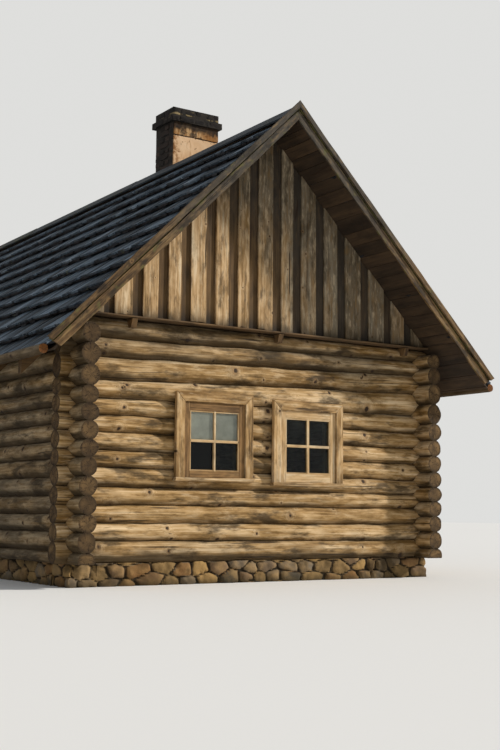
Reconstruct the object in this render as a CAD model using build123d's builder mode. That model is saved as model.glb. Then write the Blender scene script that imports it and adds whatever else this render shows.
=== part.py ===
from build123d import *
import os
from math import asin, cos, radians, sin, tan

# Log cabin, in millimetres. The front gable looks along -Y, +X is to its right, +Z is up.
# The origin is on the ground, in the middle of the plan.

# Plinth of fieldstone
plinth_height = 230
plinth_thickness = 380
plinth_setback = 40

# Walls of round logs, flattened where they lie on each other
course = 187
log_radius = 105
log_side_facets = 6
front_course_count = 13
wall_width = 4436
wall_length = 8590
side_log_overrun = 214
front_log_overrun = 110
notch_clearance = 0.5

# Floor
joist_height = 120
joist_width = 100
joist_spacing = 700
joist_count = 12
floor_thickness = 30
floor_clearance = 5

# Roof
roof_angle = 44.6
rafter_seat_inset = 11
eave_overhang = 507
verge_overhang = 580
shingle_course_count = 12
shingle_layer = 80
shingle_step = 55
sheathing_thickness = 22
rafter_depth = 123
rafter_width = 80
rafter_count = 11
rafter_tail_setback = 40
end_rafter_gap = 50
ridge_joint = 0.5
ridge_board_width = 170
ridge_board_thickness = 22
eave_pole_radius = 48
eave_pole_depth = 30
eave_pole_gap = 0.3
eave_pole_end_setback = 30

# Barge boards
barge_thickness = 25
barge_above = 15
barge_below = 108
barge_end_setback = 45
barge_end_slant = 0.3
cover_strip_above = 45
cover_strip_below = 10
cover_strip_thickness = 22

# Gables and the ledge that they stand on
gable_thickness = 50
gable_proud = 25
ledge_reach = 100
ledge_bearing = 45
ledge_thickness = 32
ledge_nose = 22
ledge_end_gap = 10
bracket_count = 3
bracket_spacing = 1796
bracket_offset = 116
bracket_width = 60
bracket_height = 90
bracket_setback = 10
bracket_foot_reach = 45

# Windows in the front wall
window_width = 805
window_head_courses = 9
window_frame_thickness = 30
window_frame_proud = 5
window_frame_depth = 210
window_sill_courses = 4
left_window_offset = -690
left_window_sill_cut = 72
left_window_trim_rise = 54
left_sash_rails = (68, 90)
right_window_offset = 520
right_window_sill_cut = 44
right_window_trim_rise = 27
right_sash_rails = (97, 85)
trim_width = 100
trim_thickness = 50
trim_joint = 0.5
sill_height = 36
sash_clearance = 0.4
sash_stile = 70
sash_thickness = 42
sash_behind_trim = 21
glass_rebate = 8
glass_rebate_depth = 18
glass_thickness = 4
glass_clearance = 0.3

# Door in the right wall
door_offset = 700
door_width = 930
door_head_courses = 10.5
door_frame_thickness = 40
door_frame_proud = 5
door_frame_depth = 210
door_setback = 30
door_plank_thickness = 35
door_ledger_thickness = 30
door_ledger_width = 140
door_ledger_inset = 200
door_clearance = 0.4

# Chimney
chimney_left = -10
chimney_width = 675
chimney_front = 2130
chimney_depth = 460
chimney_clearance = 0.3
shaft_above_ridge = 588
flue_width = 260
flue_depth = 220
flue_floor = 600
cap_courses = ((40, 85), (6, 107))

# Worked out from the sizes above
wall_x = wall_width / 2
wall_y = wall_length / 2
crest_x = wall_x + log_radius
crest_y = wall_y + log_radius
front_wall_top = plinth_height + front_course_count * course
side_wall_top = front_wall_top - course / 2
slope_sine = sin(radians(roof_angle))
slope_cosine = cos(radians(roof_angle))
roof_depth = shingle_layer + sheathing_thickness
ridge_over_walls = (wall_x - rafter_seat_inset) * tan(radians(roof_angle))
ridge_height = side_wall_top + ridge_over_walls + (roof_depth + rafter_depth) / slope_cosine
eave_reach = crest_x + eave_overhang
slope_length = eave_reach / slope_cosine
roof_half_length = crest_y + verge_overhang - cover_strip_thickness - barge_thickness
floor_top = plinth_height + joist_height + floor_thickness
window_head = plinth_height + window_head_courses * course
left_window_sill = plinth_height + window_sill_courses * course + left_window_sill_cut
right_window_sill = plinth_height + window_sill_courses * course + right_window_sill_cut
door_head = plinth_height + door_head_courses * course
chimney_x = chimney_left + chimney_width / 2
chimney_y = chimney_front + chimney_depth / 2 - crest_y
shaft_top = ridge_height + shaft_above_ridge
ledge_top = front_wall_top + ledge_thickness


def save(piece, name):
    piece.part.label = name
    export_step(piece.part, f"parts/{name}.step")


def under_roof(x, depth):
    """Height of the plane that lies the given depth under the roof's surface"""
    return ridge_height - abs(x) * tan(radians(roof_angle)) - depth / slope_cosine


def reach_under_roof(height, depth):
    """Distance from the middle of the house at which that plane comes down to a height"""
    return (ridge_height - depth / slope_cosine - height) / tan(radians(roof_angle))


def on_slope(side, along, above):
    """Point of the front view that lies down the slope from the ridge and above its surface"""
    x = along * slope_cosine + above * slope_sine
    z = ridge_height - along * slope_sine + above * slope_cosine
    return (side * x, z)


def eave_pole_centre(side):
    return on_slope(side, slope_length + eave_pole_gap + eave_pole_radius, -eave_pole_depth)


def barge_end(slope, above):
    """Corner at the lower end of a barge board, which is cut back towards its underside"""
    return on_slope(slope, slope_length - barge_end_setback + barge_end_slant * above, above)


def log_sections(radius, centres):
    """Adds sections of logs to the sketch: flat above and below, and facets round each side"""
    edge = asin(course / 2 / radius)
    angles = [edge * (2 * i / log_side_facets - 1) for i in range(log_side_facets + 1)]
    right = [(radius * cos(angle), radius * sin(angle)) for angle in angles]
    left = [(-x, z) for x, z in reversed(right)]
    with Locations(*centres):
        Polygon(*right, *left, align=None)


def cut_box(low, high):
    """Cuts a box, given by two corners, out of the part that is being made"""
    size = [b - a for a, b in zip(low, high)]
    with Locations(tuple((a + b) / 2 for a, b in zip(low, high))):
        Box(*size, mode=Mode.SUBTRACT)


def cut_chimney_hole():
    gap = chimney_clearance
    cut_box(
        (chimney_left - gap, chimney_y - chimney_depth / 2 - gap, 0),
        (chimney_left + chimney_width + gap, chimney_y + chimney_depth / 2 + gap, 2 * ridge_height),
    )


def make_plinth():
    outer_x = crest_x - plinth_setback
    outer_y = crest_y - plinth_setback
    for name, side in (("plinth_front", -1), ("plinth_back", 1)):
        with BuildPart() as plinth:
            with Locations((0, side * (outer_y - plinth_thickness / 2), plinth_height / 2)):
                Box(2 * outer_x, plinth_thickness, plinth_height)
        save(plinth, name)
    for name, side in (("plinth_left", -1), ("plinth_right", 1)):
        with BuildPart() as plinth:
            with Locations((side * (outer_x - plinth_thickness / 2), 0, plinth_height / 2)):
                Box(plinth_thickness, 2 * (outer_y - plinth_thickness), plinth_height)
        save(plinth, name)


def make_gable_wall_logs(name, side, courses, openings):
    """Logs along X, each notched underneath over the side walls' logs, half a course lower"""
    heights = [plinth_height + (i + 0.5) * course for i in courses]
    with BuildPart() as logs:
        with BuildSketch(Plane.YZ):
            log_sections(log_radius, [(side * wall_y, z) for z in heights])
        extrude(amount=crest_x + front_log_overrun, both=True)
        with BuildSketch(Plane.XZ.offset(-side * wall_y)):
            crossings = [(x, z - course / 2) for x in (-wall_x, wall_x) for z in heights]
            log_sections(log_radius + notch_clearance, crossings)
        extrude(amount=2 * log_radius, both=True, mode=Mode.SUBTRACT)
        with BuildSketch(Plane.XZ):
            far = 2 * eave_reach
            with BuildLine():
                Polyline(
                    (0, under_roof(0, roof_depth)),
                    (far, under_roof(far, roof_depth)),
                    (far, 2 * ridge_height),
                    (-far, 2 * ridge_height),
                    (-far, under_roof(far, roof_depth)),
                    close=True,
                )
            make_face()
        extrude(amount=2 * crest_y, both=True, mode=Mode.SUBTRACT)
        for centre, low, high in openings:
            cut_box(
                (centre - window_width / 2, side * wall_y - 2 * log_radius, low),
                (centre + window_width / 2, side * wall_y + 2 * log_radius, high),
            )
    save(logs, name)


def make_side_wall_logs(name, side, courses, openings):
    """Logs along Y, each notched underneath over the gable walls' logs; the lowest is a half log"""
    heights = [plinth_height + i * course for i in courses]
    with BuildPart() as logs:
        with BuildSketch(Plane.XZ):
            log_sections(log_radius, [(side * wall_x, z) for z in heights])
            with Locations((side * wall_x, plinth_height - log_radius)):
                Rectangle(4 * log_radius, 2 * log_radius, mode=Mode.SUBTRACT)
        extrude(amount=crest_y + side_log_overrun, both=True)
        with BuildSketch(Plane.YZ.offset(side * wall_x)):
            notched = [z for z in heights if z > plinth_height]
            crossings = [(y, z - course / 2) for y in (-wall_y, wall_y) for z in notched]
            log_sections(log_radius + notch_clearance, crossings)
        extrude(amount=2 * log_radius, both=True, mode=Mode.SUBTRACT)
        for centre, low, high in openings:
            cut_box(
                (side * wall_x - 2 * log_radius, centre - door_width / 2, low),
                (side * wall_x + 2 * log_radius, centre + door_width / 2, high),
            )
    save(logs, name)


def make_walls():
    windows = (
        (left_window_offset, left_window_sill, window_head),
        (right_window_offset, right_window_sill, window_head),
    )
    door = ((door_offset, floor_top, door_head),)
    for first, courses in (("lower", 0), ("upper", 1)):
        alternate = range(courses, front_course_count, 2)
        make_gable_wall_logs(f"front_wall_{first}_logs", -1, alternate, windows)
        make_gable_wall_logs(f"back_wall_{first}_logs", 1, alternate, ())
        make_side_wall_logs(f"left_wall_{first}_logs", -1, alternate, ())
        make_side_wall_logs(f"right_wall_{first}_logs", 1, alternate, door)


def make_floor():
    room_x = crest_x - 2 * log_radius - floor_clearance
    room_y = crest_y - 2 * log_radius - floor_clearance
    with BuildPart() as joists:
        with Locations((0, 0, plinth_height + joist_height / 2)):
            with GridLocations(0, joist_spacing, 1, joist_count):
                Box(2 * room_x, joist_width, joist_height)
    save(joists, "floor_joists")
    with BuildPart() as boards:
        with Locations((0, 0, floor_top - floor_thickness / 2)):
            Box(2 * room_x, 2 * room_y, floor_thickness)
        cut_chimney_hole()
    save(boards, "floor_boards")


def make_rafters():
    """Rafters with a bird's-mouth on the side walls' top logs and a plumb cut at the ridge"""
    tail = on_slope(1, slope_length, -roof_depth)[0] - rafter_tail_setback
    bottom = roof_depth + rafter_depth
    seat = reach_under_roof(side_wall_top, bottom)
    span = 2 * (wall_y - log_radius - end_rafter_gap - rafter_width)
    for name, side in (("rafters_left", -1), ("rafters_right", 1)):
        outline = (
            (ridge_joint, under_roof(ridge_joint, roof_depth)),
            (tail, under_roof(tail, roof_depth)),
            (tail, under_roof(tail, bottom)),
            (crest_x + notch_clearance, under_roof(crest_x + notch_clearance, bottom)),
            (crest_x + notch_clearance, side_wall_top),
            (seat, side_wall_top),
            (ridge_joint, under_roof(ridge_joint, bottom)),
        )
        with BuildPart() as rafters:
            for i in range(rafter_count):
                y = (i / (rafter_count - 1) - 0.5) * span
                with BuildSketch(Plane.XZ.offset(-y)):
                    with BuildLine():
                        Polyline(*[(side * x, z) for x, z in outline], close=True)
                    make_face()
            extrude(amount=rafter_width / 2, both=True)
        save(rafters, name)


def make_roof():
    """Each slope is sheathing under a layer of shingles, stepped at the butts of its courses"""
    exposure = slope_length / shingle_course_count
    for word, side in (("left", -1), ("right", 1)):
        with BuildPart() as sheathing:
            with BuildSketch(Plane.XZ):
                with BuildLine():
                    Polyline(
                        (side * ridge_joint, under_roof(ridge_joint, shingle_layer)),
                        on_slope(side, slope_length, -shingle_layer),
                        on_slope(side, slope_length, -roof_depth),
                        (side * ridge_joint, under_roof(ridge_joint, roof_depth)),
                        close=True,
                    )
                make_face()
            extrude(amount=roof_half_length, both=True)
            cut_chimney_hole()
        save(sheathing, f"roof_sheathing_{word}")
        steps = [on_slope(side, exposure, 0)]
        for i in range(1, shingle_course_count):
            steps.append(on_slope(side, i * exposure, -shingle_step))
            steps.append(on_slope(side, (i + 1) * exposure, 0))
        with BuildPart() as shingles:
            with BuildSketch(Plane.XZ):
                with BuildLine():
                    Polyline(
                        (side * ridge_joint, under_roof(ridge_joint, 0)),
                        *steps,
                        on_slope(side, slope_length, -shingle_layer),
                        (side * ridge_joint, under_roof(ridge_joint, shingle_layer)),
                        close=True,
                    )
                make_face()
            extrude(amount=roof_half_length, both=True)
            cut_chimney_hole()
        save(shingles, f"roof_shingles_{word}")


def make_ridge_boards():
    with BuildPart() as boards:
        for side in (-1, 1):
            with BuildSketch(Plane.XZ):
                with BuildLine():
                    Polyline(
                        (side * ridge_joint, under_roof(ridge_joint, 0)),
                        on_slope(side, ridge_board_width, 0),
                        on_slope(side, ridge_board_width, ridge_board_thickness),
                        (side * ridge_joint, under_roof(ridge_joint, -ridge_board_thickness)),
                        close=True,
                    )
                make_face()
        extrude(amount=roof_half_length, both=True)
        cut_chimney_hole()
    save(boards, "ridge_boards")


def make_eave_poles():
    """Poles along the lowest edge of the shingles"""
    with BuildPart() as poles:
        with BuildSketch(Plane.XZ):
            with Locations(eave_pole_centre(-1), eave_pole_centre(1)):
                Circle(eave_pole_radius)
        extrude(amount=roof_half_length - eave_pole_end_setback, both=True)
    save(poles, "eave_poles")


def make_barge_boards(name, side):
    """Barge boards on the ends of the sheathing, with a cover strip along their top edge"""
    boards_and_strips = (
        (barge_above, barge_below, roof_half_length, barge_thickness),
        (cover_strip_above, cover_strip_below, roof_half_length + barge_thickness, cover_strip_thickness),
    )
    with BuildPart() as boards:
        for above, below, inner_y, thickness in boards_and_strips:
            with BuildSketch(Plane.XZ.offset(-side * inner_y)):
                for slope in (-1, 1):
                    with BuildLine():
                        Polyline(
                            (slope * ridge_joint, under_roof(ridge_joint, -above)),
                            barge_end(slope, above),
                            barge_end(slope, -below),
                            (slope * ridge_joint, under_roof(ridge_joint, below)),
                            close=True,
                        )
                    make_face()
            extrude(amount=-side * thickness)
    save(boards, name)


def make_gable(word, side):
    """A boarded triangle on a ledge that sheds rain from the head of the log wall"""
    outer_y = crest_y + gable_proud
    corner = reach_under_roof(ledge_top, roof_depth)
    with BuildPart() as gable:
        with BuildSketch(Plane.XZ.offset(-side * (outer_y - gable_thickness))):
            with BuildLine():
                Polyline(
                    (-corner, ledge_top),
                    (corner, ledge_top),
                    (0, under_roof(0, roof_depth)),
                    close=True,
                )
            make_face()
        extrude(amount=-side * gable_thickness)
    save(gable, f"{word}_gable")
    with BuildPart() as ledge:
        with BuildSketch(Plane.YZ):
            with BuildLine():
                Polyline(
                    (side * (wall_y - ledge_bearing), front_wall_top),
                    (side * (crest_y + ledge_reach), front_wall_top),
                    (side * (crest_y + ledge_reach), front_wall_top + ledge_nose),
                    (side * outer_y, ledge_top),
                    (side * (wall_y - ledge_bearing), ledge_top),
                    close=True,
                )
            make_face()
        extrude(amount=corner - ledge_end_gap, both=True)
    save(ledge, f"{word}_ledge")
    make_brackets(f"{word}_ledge_brackets", side)


def make_brackets(name, side):
    """Blocks under the ledge, hollowed to sit against the round of the top log"""
    nose = side * (crest_y + ledge_reach - bracket_setback)
    foot = side * (crest_y + ledge_reach - bracket_foot_reach)
    with BuildPart() as brackets:
        for i in range(bracket_count):
            x = bracket_offset + (i - (bracket_count - 1) / 2) * bracket_spacing
            with BuildSketch(Plane.YZ.offset(x)):
                with BuildLine():
                    Polyline(
                        (nose, front_wall_top),
                        (side * wall_y, front_wall_top),
                        (side * wall_y, front_wall_top - bracket_height),
                        (foot, front_wall_top - bracket_height),
                        close=True,
                    )
                make_face()
                with Locations((side * wall_y, side_wall_top)):
                    Circle(log_radius + notch_clearance, mode=Mode.SUBTRACT)
        extrude(amount=bracket_width / 2, both=True)
    save(brackets, name)


def make_window(word, centre, sill, trim_rise, sash_rails):
    """A box frame in the logs, mitred boards round it outside, and a sash of one pane"""
    height = window_head - sill
    middle = sill + height / 2
    frame_face = crest_y + window_frame_proud
    trim_top = window_head + trim_rise
    clear_width = window_width - 2 * window_frame_thickness
    clear_height = trim_top - trim_width - sill - sill_height
    clear_middle = sill + sill_height + clear_height / 2
    with BuildPart() as frame:
        with BuildSketch(Plane.XZ.offset(frame_face)):
            with Locations((centre, middle)):
                Rectangle(window_width, height)
            with Locations((centre, clear_middle)):
                Rectangle(clear_width, clear_height, mode=Mode.SUBTRACT)
        extrude(amount=-window_frame_depth)
    save(frame, f"{word}_window_frame")
    make_trim(
        f"{word}_window_trim", Plane.XZ.offset(frame_face), centre, clear_width, sill, trim_top, sill_height
    )
    bottom_rail, top_rail = sash_rails
    sash_width = clear_width - 2 * sash_clearance
    sash_height = clear_height - 2 * sash_clearance
    glass_width = sash_width - 2 * sash_stile
    glass_height = sash_height - bottom_rail - top_rail
    glass_middle = clear_middle + (bottom_rail - top_rail) / 2
    sash_face = frame_face + trim_thickness - sash_behind_trim
    with BuildPart() as sash:
        with BuildSketch(Plane.XZ.offset(sash_face)):
            with Locations((centre, clear_middle)):
                Rectangle(sash_width, sash_height)
            with Locations((centre, glass_middle)):
                Rectangle(glass_width, glass_height, mode=Mode.SUBTRACT)
        extrude(amount=-sash_thickness)
        with BuildSketch(Plane.XZ.offset(sash_face - sash_thickness)):
            with Locations((centre, glass_middle)):
                Rectangle(glass_width + 2 * glass_rebate, glass_height + 2 * glass_rebate)
        extrude(amount=glass_rebate_depth, mode=Mode.SUBTRACT)
    save(sash, f"{word}_window_sash")
    with BuildPart() as glass:
        spread = 2 * (glass_rebate - glass_clearance)
        with BuildSketch(Plane.XZ.offset(sash_face - sash_thickness + glass_rebate_depth)):
            with Locations((centre, glass_middle)):
                Rectangle(glass_width + spread, glass_height + spread)
        extrude(amount=-glass_thickness)
    save(glass, f"{word}_window_glass")


def make_trim(name, face, centre, clear_width, bottom, top, sill_board=0):
    """Two upright boards, a mitred head board and one below if asked for, with hair-line joints"""
    inner = clear_width / 2
    outer = inner + trim_width
    foot = bottom + sill_board
    with BuildPart() as trim:
        for side in (-1, 1):
            with BuildSketch(face):
                with BuildLine():
                    Polyline(
                        (centre + side * inner, foot),
                        (centre + side * outer, foot),
                        (centre + side * outer, top - trim_joint),
                        (centre + side * inner, top - trim_joint - trim_width),
                        close=True,
                    )
                make_face()
        with BuildSketch(face):
            with BuildLine():
                Polyline(
                    (centre - inner + trim_joint, top - trim_width),
                    (centre + inner - trim_joint, top - trim_width),
                    (centre + outer - trim_joint, top),
                    (centre - outer + trim_joint, top),
                    close=True,
                )
            make_face()
        if sill_board:
            with BuildSketch(face):
                with Locations((centre, (bottom + foot - trim_joint) / 2)):
                    Rectangle(2 * outer, sill_board - trim_joint)
        extrude(amount=trim_thickness)
    save(trim, name)


def make_door():
    """A fixed plank door with two ledgers inside, in a box frame with boards round it"""
    height = door_head - floor_top
    middle = floor_top + height / 2
    frame_face = crest_x + door_frame_proud
    clear_width = door_width - 2 * door_frame_thickness
    clear_height = height - 2 * door_frame_thickness
    with BuildPart() as frame:
        with BuildSketch(Plane.YZ.offset(frame_face)):
            with Locations((door_offset, middle)):
                Rectangle(door_width, height)
                Rectangle(clear_width, clear_height, mode=Mode.SUBTRACT)
        extrude(amount=-door_frame_depth)
    save(frame, "door_frame")
    trim_top = door_head - door_frame_thickness + trim_width
    make_trim("door_trim", Plane.YZ.offset(frame_face), door_offset, clear_width, floor_top, trim_top)
    leaf_width = clear_width - 2 * door_clearance
    leaf_height = clear_height - 2 * door_clearance
    with BuildPart() as leaf:
        with BuildSketch(Plane.YZ.offset(frame_face - door_setback)):
            with Locations((door_offset, middle)):
                Rectangle(leaf_width, leaf_height)
        extrude(amount=-door_plank_thickness)
        with BuildSketch(Plane.YZ.offset(frame_face - door_setback - door_plank_thickness)):
            with Locations((door_offset, middle)):
                with GridLocations(0, leaf_height - 2 * door_ledger_inset, 1, 2):
                    Rectangle(leaf_width - door_ledger_width, door_ledger_width)
        extrude(amount=-door_ledger_thickness)
    save(leaf, "door_leaf")


def make_chimney():
    """A plastered shaft with a flue, and a cap of corbelled courses"""
    with BuildPart() as shaft:
        with Locations((chimney_x, chimney_y, shaft_top / 2)):
            Box(chimney_width, chimney_depth, shaft_top)
        cut_flue(flue_floor)
    save(shaft, "chimney")
    with BuildPart() as cap:
        level = shaft_top
        for overhang, height in cap_courses:
            with Locations((chimney_x, chimney_y, level + height / 2)):
                Box(chimney_width + 2 * overhang, chimney_depth + 2 * overhang, height)
            level += height
        cut_flue(0)
    save(cap, "chimney_cap")


def cut_flue(bottom):
    cut_box(
        (chimney_x - flue_width / 2, chimney_y - flue_depth / 2, bottom),
        (chimney_x + flue_width / 2, chimney_y + flue_depth / 2, 2 * shaft_top),
    )


os.makedirs("parts", exist_ok=True)
make_plinth()
make_walls()
make_floor()
make_rafters()
make_roof()
make_ridge_boards()
make_eave_poles()
make_barge_boards("front_barge_boards", -1)
make_barge_boards("back_barge_boards", 1)
make_gable("front", -1)
make_gable("back", 1)
make_window(
    "left", left_window_offset, left_window_sill, left_window_trim_rise, left_sash_rails
)
make_window(
    "right", right_window_offset, right_window_sill, right_window_trim_rise, right_sash_rails
)
make_door()
make_chimney()
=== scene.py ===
import math

import bpy
import numpy as np
from mathutils import Matrix, Vector


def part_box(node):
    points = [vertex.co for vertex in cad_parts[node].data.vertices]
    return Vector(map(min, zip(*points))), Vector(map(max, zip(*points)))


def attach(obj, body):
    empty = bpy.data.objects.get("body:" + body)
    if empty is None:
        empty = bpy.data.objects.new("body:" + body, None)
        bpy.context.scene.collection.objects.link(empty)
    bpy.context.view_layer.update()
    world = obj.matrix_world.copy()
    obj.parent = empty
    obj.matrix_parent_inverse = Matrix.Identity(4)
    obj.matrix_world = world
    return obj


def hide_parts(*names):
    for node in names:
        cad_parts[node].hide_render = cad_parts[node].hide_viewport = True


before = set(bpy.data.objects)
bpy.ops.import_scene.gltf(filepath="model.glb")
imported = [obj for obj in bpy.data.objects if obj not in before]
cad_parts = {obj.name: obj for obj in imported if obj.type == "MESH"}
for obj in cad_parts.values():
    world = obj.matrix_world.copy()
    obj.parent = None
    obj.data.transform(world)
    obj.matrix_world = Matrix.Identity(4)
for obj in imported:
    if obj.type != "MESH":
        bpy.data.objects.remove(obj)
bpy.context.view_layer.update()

# Log cabin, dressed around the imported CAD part, in metres in the row frame.
# The front gable looks along -Y, +X is to its right, +Z is up, and the ground is z = 0.

X, Y, Z = np.eye(3)
PICTURE_HEIGHT = 750
SENSOR = 36.0

# Sizes of the real pieces that the CAD solids stand for
LOG_RADIUS = 0.105
COURSE = 0.187
COURSES = 13
LOG_LAP = 0.009
POLE_RADIUS = 0.048
PLINTH_STONE = (0.23, 0.125)
PLINTH_DEPTH = 0.3
SHINGLE_WIDTH = 0.135
SHINGLE_COURSES = 12
SHINGLE_LENGTH = 0.5
SHINGLE_STEP = 0.055
SHINGLE_LAYER = 0.08
SHEATHING_THICKNESS = 0.022
ROOF_ANGLE = math.radians(44.6)
RISE = math.tan(ROOF_ANGLE)
RIDGE_BOARD = 0.17
GABLE_GAP = 0.1175
GABLE_BOARD = 0.024
GABLE_LAP = 0.085
TRIM_WIDTH = 0.1
BRICK = (0.222, 0.108, 0.075)
MORTAR = 0.011
BRICKS_FROM = 4.2
FLUE = np.array((0.26, 0.22))

# Heights of the joints between the front wall's logs, near its left and right corners
FRONT_JOINTS_LEFT = (0.440, 0.617, 0.797, 0.971, 1.160, 1.335, 1.515, 1.691, 1.861, 2.042, 2.266, 2.459)
FRONT_JOINTS_RIGHT = (0.428, 0.613, 0.798, 0.958, 1.119, 1.309, 1.490, 1.679, 1.872, 2.129, 2.340, 2.512)
JOINT_STATIONS = (-1.7, 1.5)

# Middles of the gaps between the gable's outer boards, from its left corner to its right one
GABLE_GAPS = (
    -2.5, -2.21, -1.94, -1.62, -1.325, -1.055, -0.75, -0.47, -0.21, 0.1, 0.37, 0.69, 0.995, 1.33, 1.675, 1.98,
    2.27, 2.56,
)

# Barge boards: reach above and below the slope's edge, start along Y, thickness, waviness, and dirt with
# painted shade.
# The second and fourth row are the groove between the board and the strip above it, painted dark as shade in
# the groove.
BARGE_ROWS = (
    (-0.027, 0.108, 0.0, 0.025, 0.007, 0.2),
    (0.015, 0.012, 0.0, 0.025, 0.0, 0.8),
    (0.045, 0.012, 0.025, 0.022, 0.007, 0.1),
    (-0.010, 0.030, 0.0, 0.010, 0.0, 0.9),
)

# How far from a knot, in its radii, its place is kept; the share of knots that show in boards
KNOT_REACH = 3.2
KNOT_SHARES = {"grown": 0.62, "faint": 0.3, "none": 0.0}
KNOT_SHADE = "2a1c11"
KNOT_HALO = "7d5c36"


def box(node):
    """Lowest and highest corner of a CAD node as arrays"""
    low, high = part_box(node)
    return np.array(low), np.array(high)


def vectors(*parts):
    """Numbers and arrays, brought to one shape and joined into vectors"""
    return np.stack(np.broadcast_arrays(*parts), axis=-1)


# Places worked out from the frame
PLINTH_TOP = box("plinth_front")[1][2]
GABLE_LOG_REACH = box("front_wall_lower_logs")[1][0]
SIDE_LOG_REACH = box("left_wall_lower_logs")[1][1]
WALL_X = -box("left_wall_lower_logs")[0][0] - LOG_RADIUS
WALL_Y = -box("front_wall_lower_logs")[0][1] - LOG_RADIUS
RIDGE_HEIGHT = box("roof_shingles_left")[1][2]
EAVE_REACH = box("roof_sheathing_right")[1][0]
ROOF_HALF_LENGTH = box("roof_shingles_left")[1][1]
ROOF_DEPTH = SHINGLE_LAYER + SHEATHING_THICKNESS
SLOPE_LENGTH = (EAVE_REACH + SHINGLE_LAYER * math.sin(ROOF_ANGLE)) / math.cos(ROOF_ANGLE)
SHAFT_LOW, SHAFT_HIGH = box("chimney")
SHAFT_MIDDLE = (SHAFT_LOW + SHAFT_HIGH) / 2


# Random numbers and noise for the meshes

def hashed(cells, seed):
    """A number from 0 to 1 for each cell of whole numbers"""
    a = cells.astype(np.int64)
    h = a[..., 0] * 374761393 + a[..., 1] * 668265263 + a[..., 2] * 1442695041 + int(seed) * 974634777
    h = (h ^ (h >> 13)) * 1274126177
    h = h ^ (h >> 16)
    return (h & 0xFFFFFF) / 0xFFFFFF


def noise(points, scale, seed):
    """Smooth noise from -1 to 1, with lumps of about 1 / scale"""
    p = np.asarray(points, float) * scale
    cell = np.floor(p)
    part = p - cell
    part = part * part * (3 - 2 * part)
    total = 0
    for corner in np.ndindex(2, 2, 2):
        weight = np.prod(np.where(corner, part, 1 - part), axis=-1)
        total = total + weight * hashed(cell + corner, seed)
    return 2 * total - 1


def waver(s, scale, seed):
    """Smooth noise along one direction, from -1 to 1"""
    return noise(vectors(s, 0.37, 0.71), (scale, 1, 1), seed)


def smooth(value, low, high):
    """0 below low, 1 above high and a soft step between; low may be above high"""
    t = np.clip((value - low) / (high - low), 0, 1)
    return t * t * (3 - 2 * t)


# Meshes

class Place:
    """Turns distances along, across and up into points of the row frame"""

    def __init__(self, origin, along, across, up):
        self.origin = np.array(origin, float)
        self.axes = np.array([along, across, up], float)
        self.flipped = np.linalg.det(self.axes) < 0

    def __call__(self, s, u, v):
        return self.origin + vectors(s, u, v) @ self.axes


class Shape:
    """One joined mesh; each vertex keeps its place in the grain, the nearest knot, and its marks.
    Marks are a tone for the whole piece, how weathered it is there, and how dirty; on logs, shingles, barge
    boards, gables and panes the last two also hold painted highlight, shade and reflection."""

    def __init__(self):
        self.points, self.grain, self.knot, self.mark = [], [], [], []
        self.faces, self.finishes = [], []
        self.count = 0

    def add_points(self, points, grain, mark, knot=(0.0, 0.0, 1.0)):
        shape = points.shape[:-1]
        for store, values in (
            (self.points, points), (self.grain, grain), (self.mark, mark), (self.knot, knot),
        ):
            store.append(np.broadcast_to(values, shape + (3,)).reshape(-1, 3))
        ids = self.count + np.arange(math.prod(shape)).reshape(shape)
        self.count += ids.size
        return ids

    def add_faces(self, faces, finish, flipped):
        faces = faces.reshape(-1, faces.shape[-1])
        self.faces.append(faces[:, ::-1] if flipped else faces)
        self.finishes.append(np.full(len(faces), finish))

    def add_net(self, ids, finish, flipped=False, round_rows=False):
        """Quads between neighbouring rows of points, where each row is a ring"""
        ids = np.concatenate([ids, ids[:, :1]], axis=1)
        if round_rows:
            ids = np.concatenate([ids, ids[:1]], axis=0)
        quads = np.stack([ids[:-1, :-1], ids[:-1, 1:], ids[1:, 1:], ids[1:, :-1]], axis=-1)
        self.add_faces(quads, finish, flipped)

    def add_sweep(self, points, grain, mark, knot=(0.0, 0.0, 1.0), finish=0, cap_finish=None, flipped=False,
                  cap_dirt=0.0):
        """A closed solid through rings of points, with flat ends that have their own vertices"""
        self.add_net(self.add_points(points, grain, mark, knot), finish, flipped)
        for end, turned in ((0, True), (-1, False)):
            end_mark = np.broadcast_to(mark, points.shape)[end] + (0, 0, cap_dirt)
            cap = self.add_points(points[end], np.broadcast_to(grain, points.shape)[end], end_mark)
            self.add_faces(cap[None, :], finish if cap_finish is None else cap_finish, flipped != turned)

    def make(self, name, materials, slot, *nodes, sharp=38):
        """The finished object, riding on the one body in place of the CAD nodes"""
        mesh = bpy.data.meshes.new(name)
        points = np.concatenate(self.points)
        loops = np.concatenate([f.reshape(-1) for f in self.faces])
        totals = np.concatenate([np.full(len(f), f.shape[1]) for f in self.faces])
        mesh.vertices.add(len(points))
        mesh.vertices.foreach_set("co", points.astype(np.float32).reshape(-1))
        mesh.loops.add(len(loops))
        mesh.loops.foreach_set("vertex_index", loops.astype(np.int32))
        mesh.polygons.add(len(totals))
        mesh.polygons.foreach_set("loop_start", (np.cumsum(totals) - totals).astype(np.int32))
        mesh.polygons.foreach_set("material_index", np.concatenate(self.finishes).astype(np.int32))
        mesh.update(calc_edges=True)
        mesh.polygons.foreach_set("use_smooth", np.ones(len(totals), bool))
        mesh.set_sharp_from_angle(angle=math.radians(sharp))
        for word, store in (("grain", self.grain), ("knot", self.knot), ("mark", self.mark)):
            layer = mesh.attributes.new(word, "FLOAT_VECTOR", "POINT")
            layer.data.foreach_set("vector", np.concatenate(store).astype(np.float32).reshape(-1))
        for material in materials:
            mesh.materials.append(material)
        piece = bpy.data.objects.new(name, mesh)
        bpy.context.scene.collection.objects.link(piece)
        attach(piece, "root")
        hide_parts(*nodes)


def stations(start, end, step, extra=()):
    """Distances from start to end about a step apart, and the extra ones between them"""
    count = max(2, int(round((end - start) / step)) + 1)
    inner = [s for s in extra if start < s < end]
    return np.unique(np.concatenate([np.linspace(start, end, count), inner]))


# Logs

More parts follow.
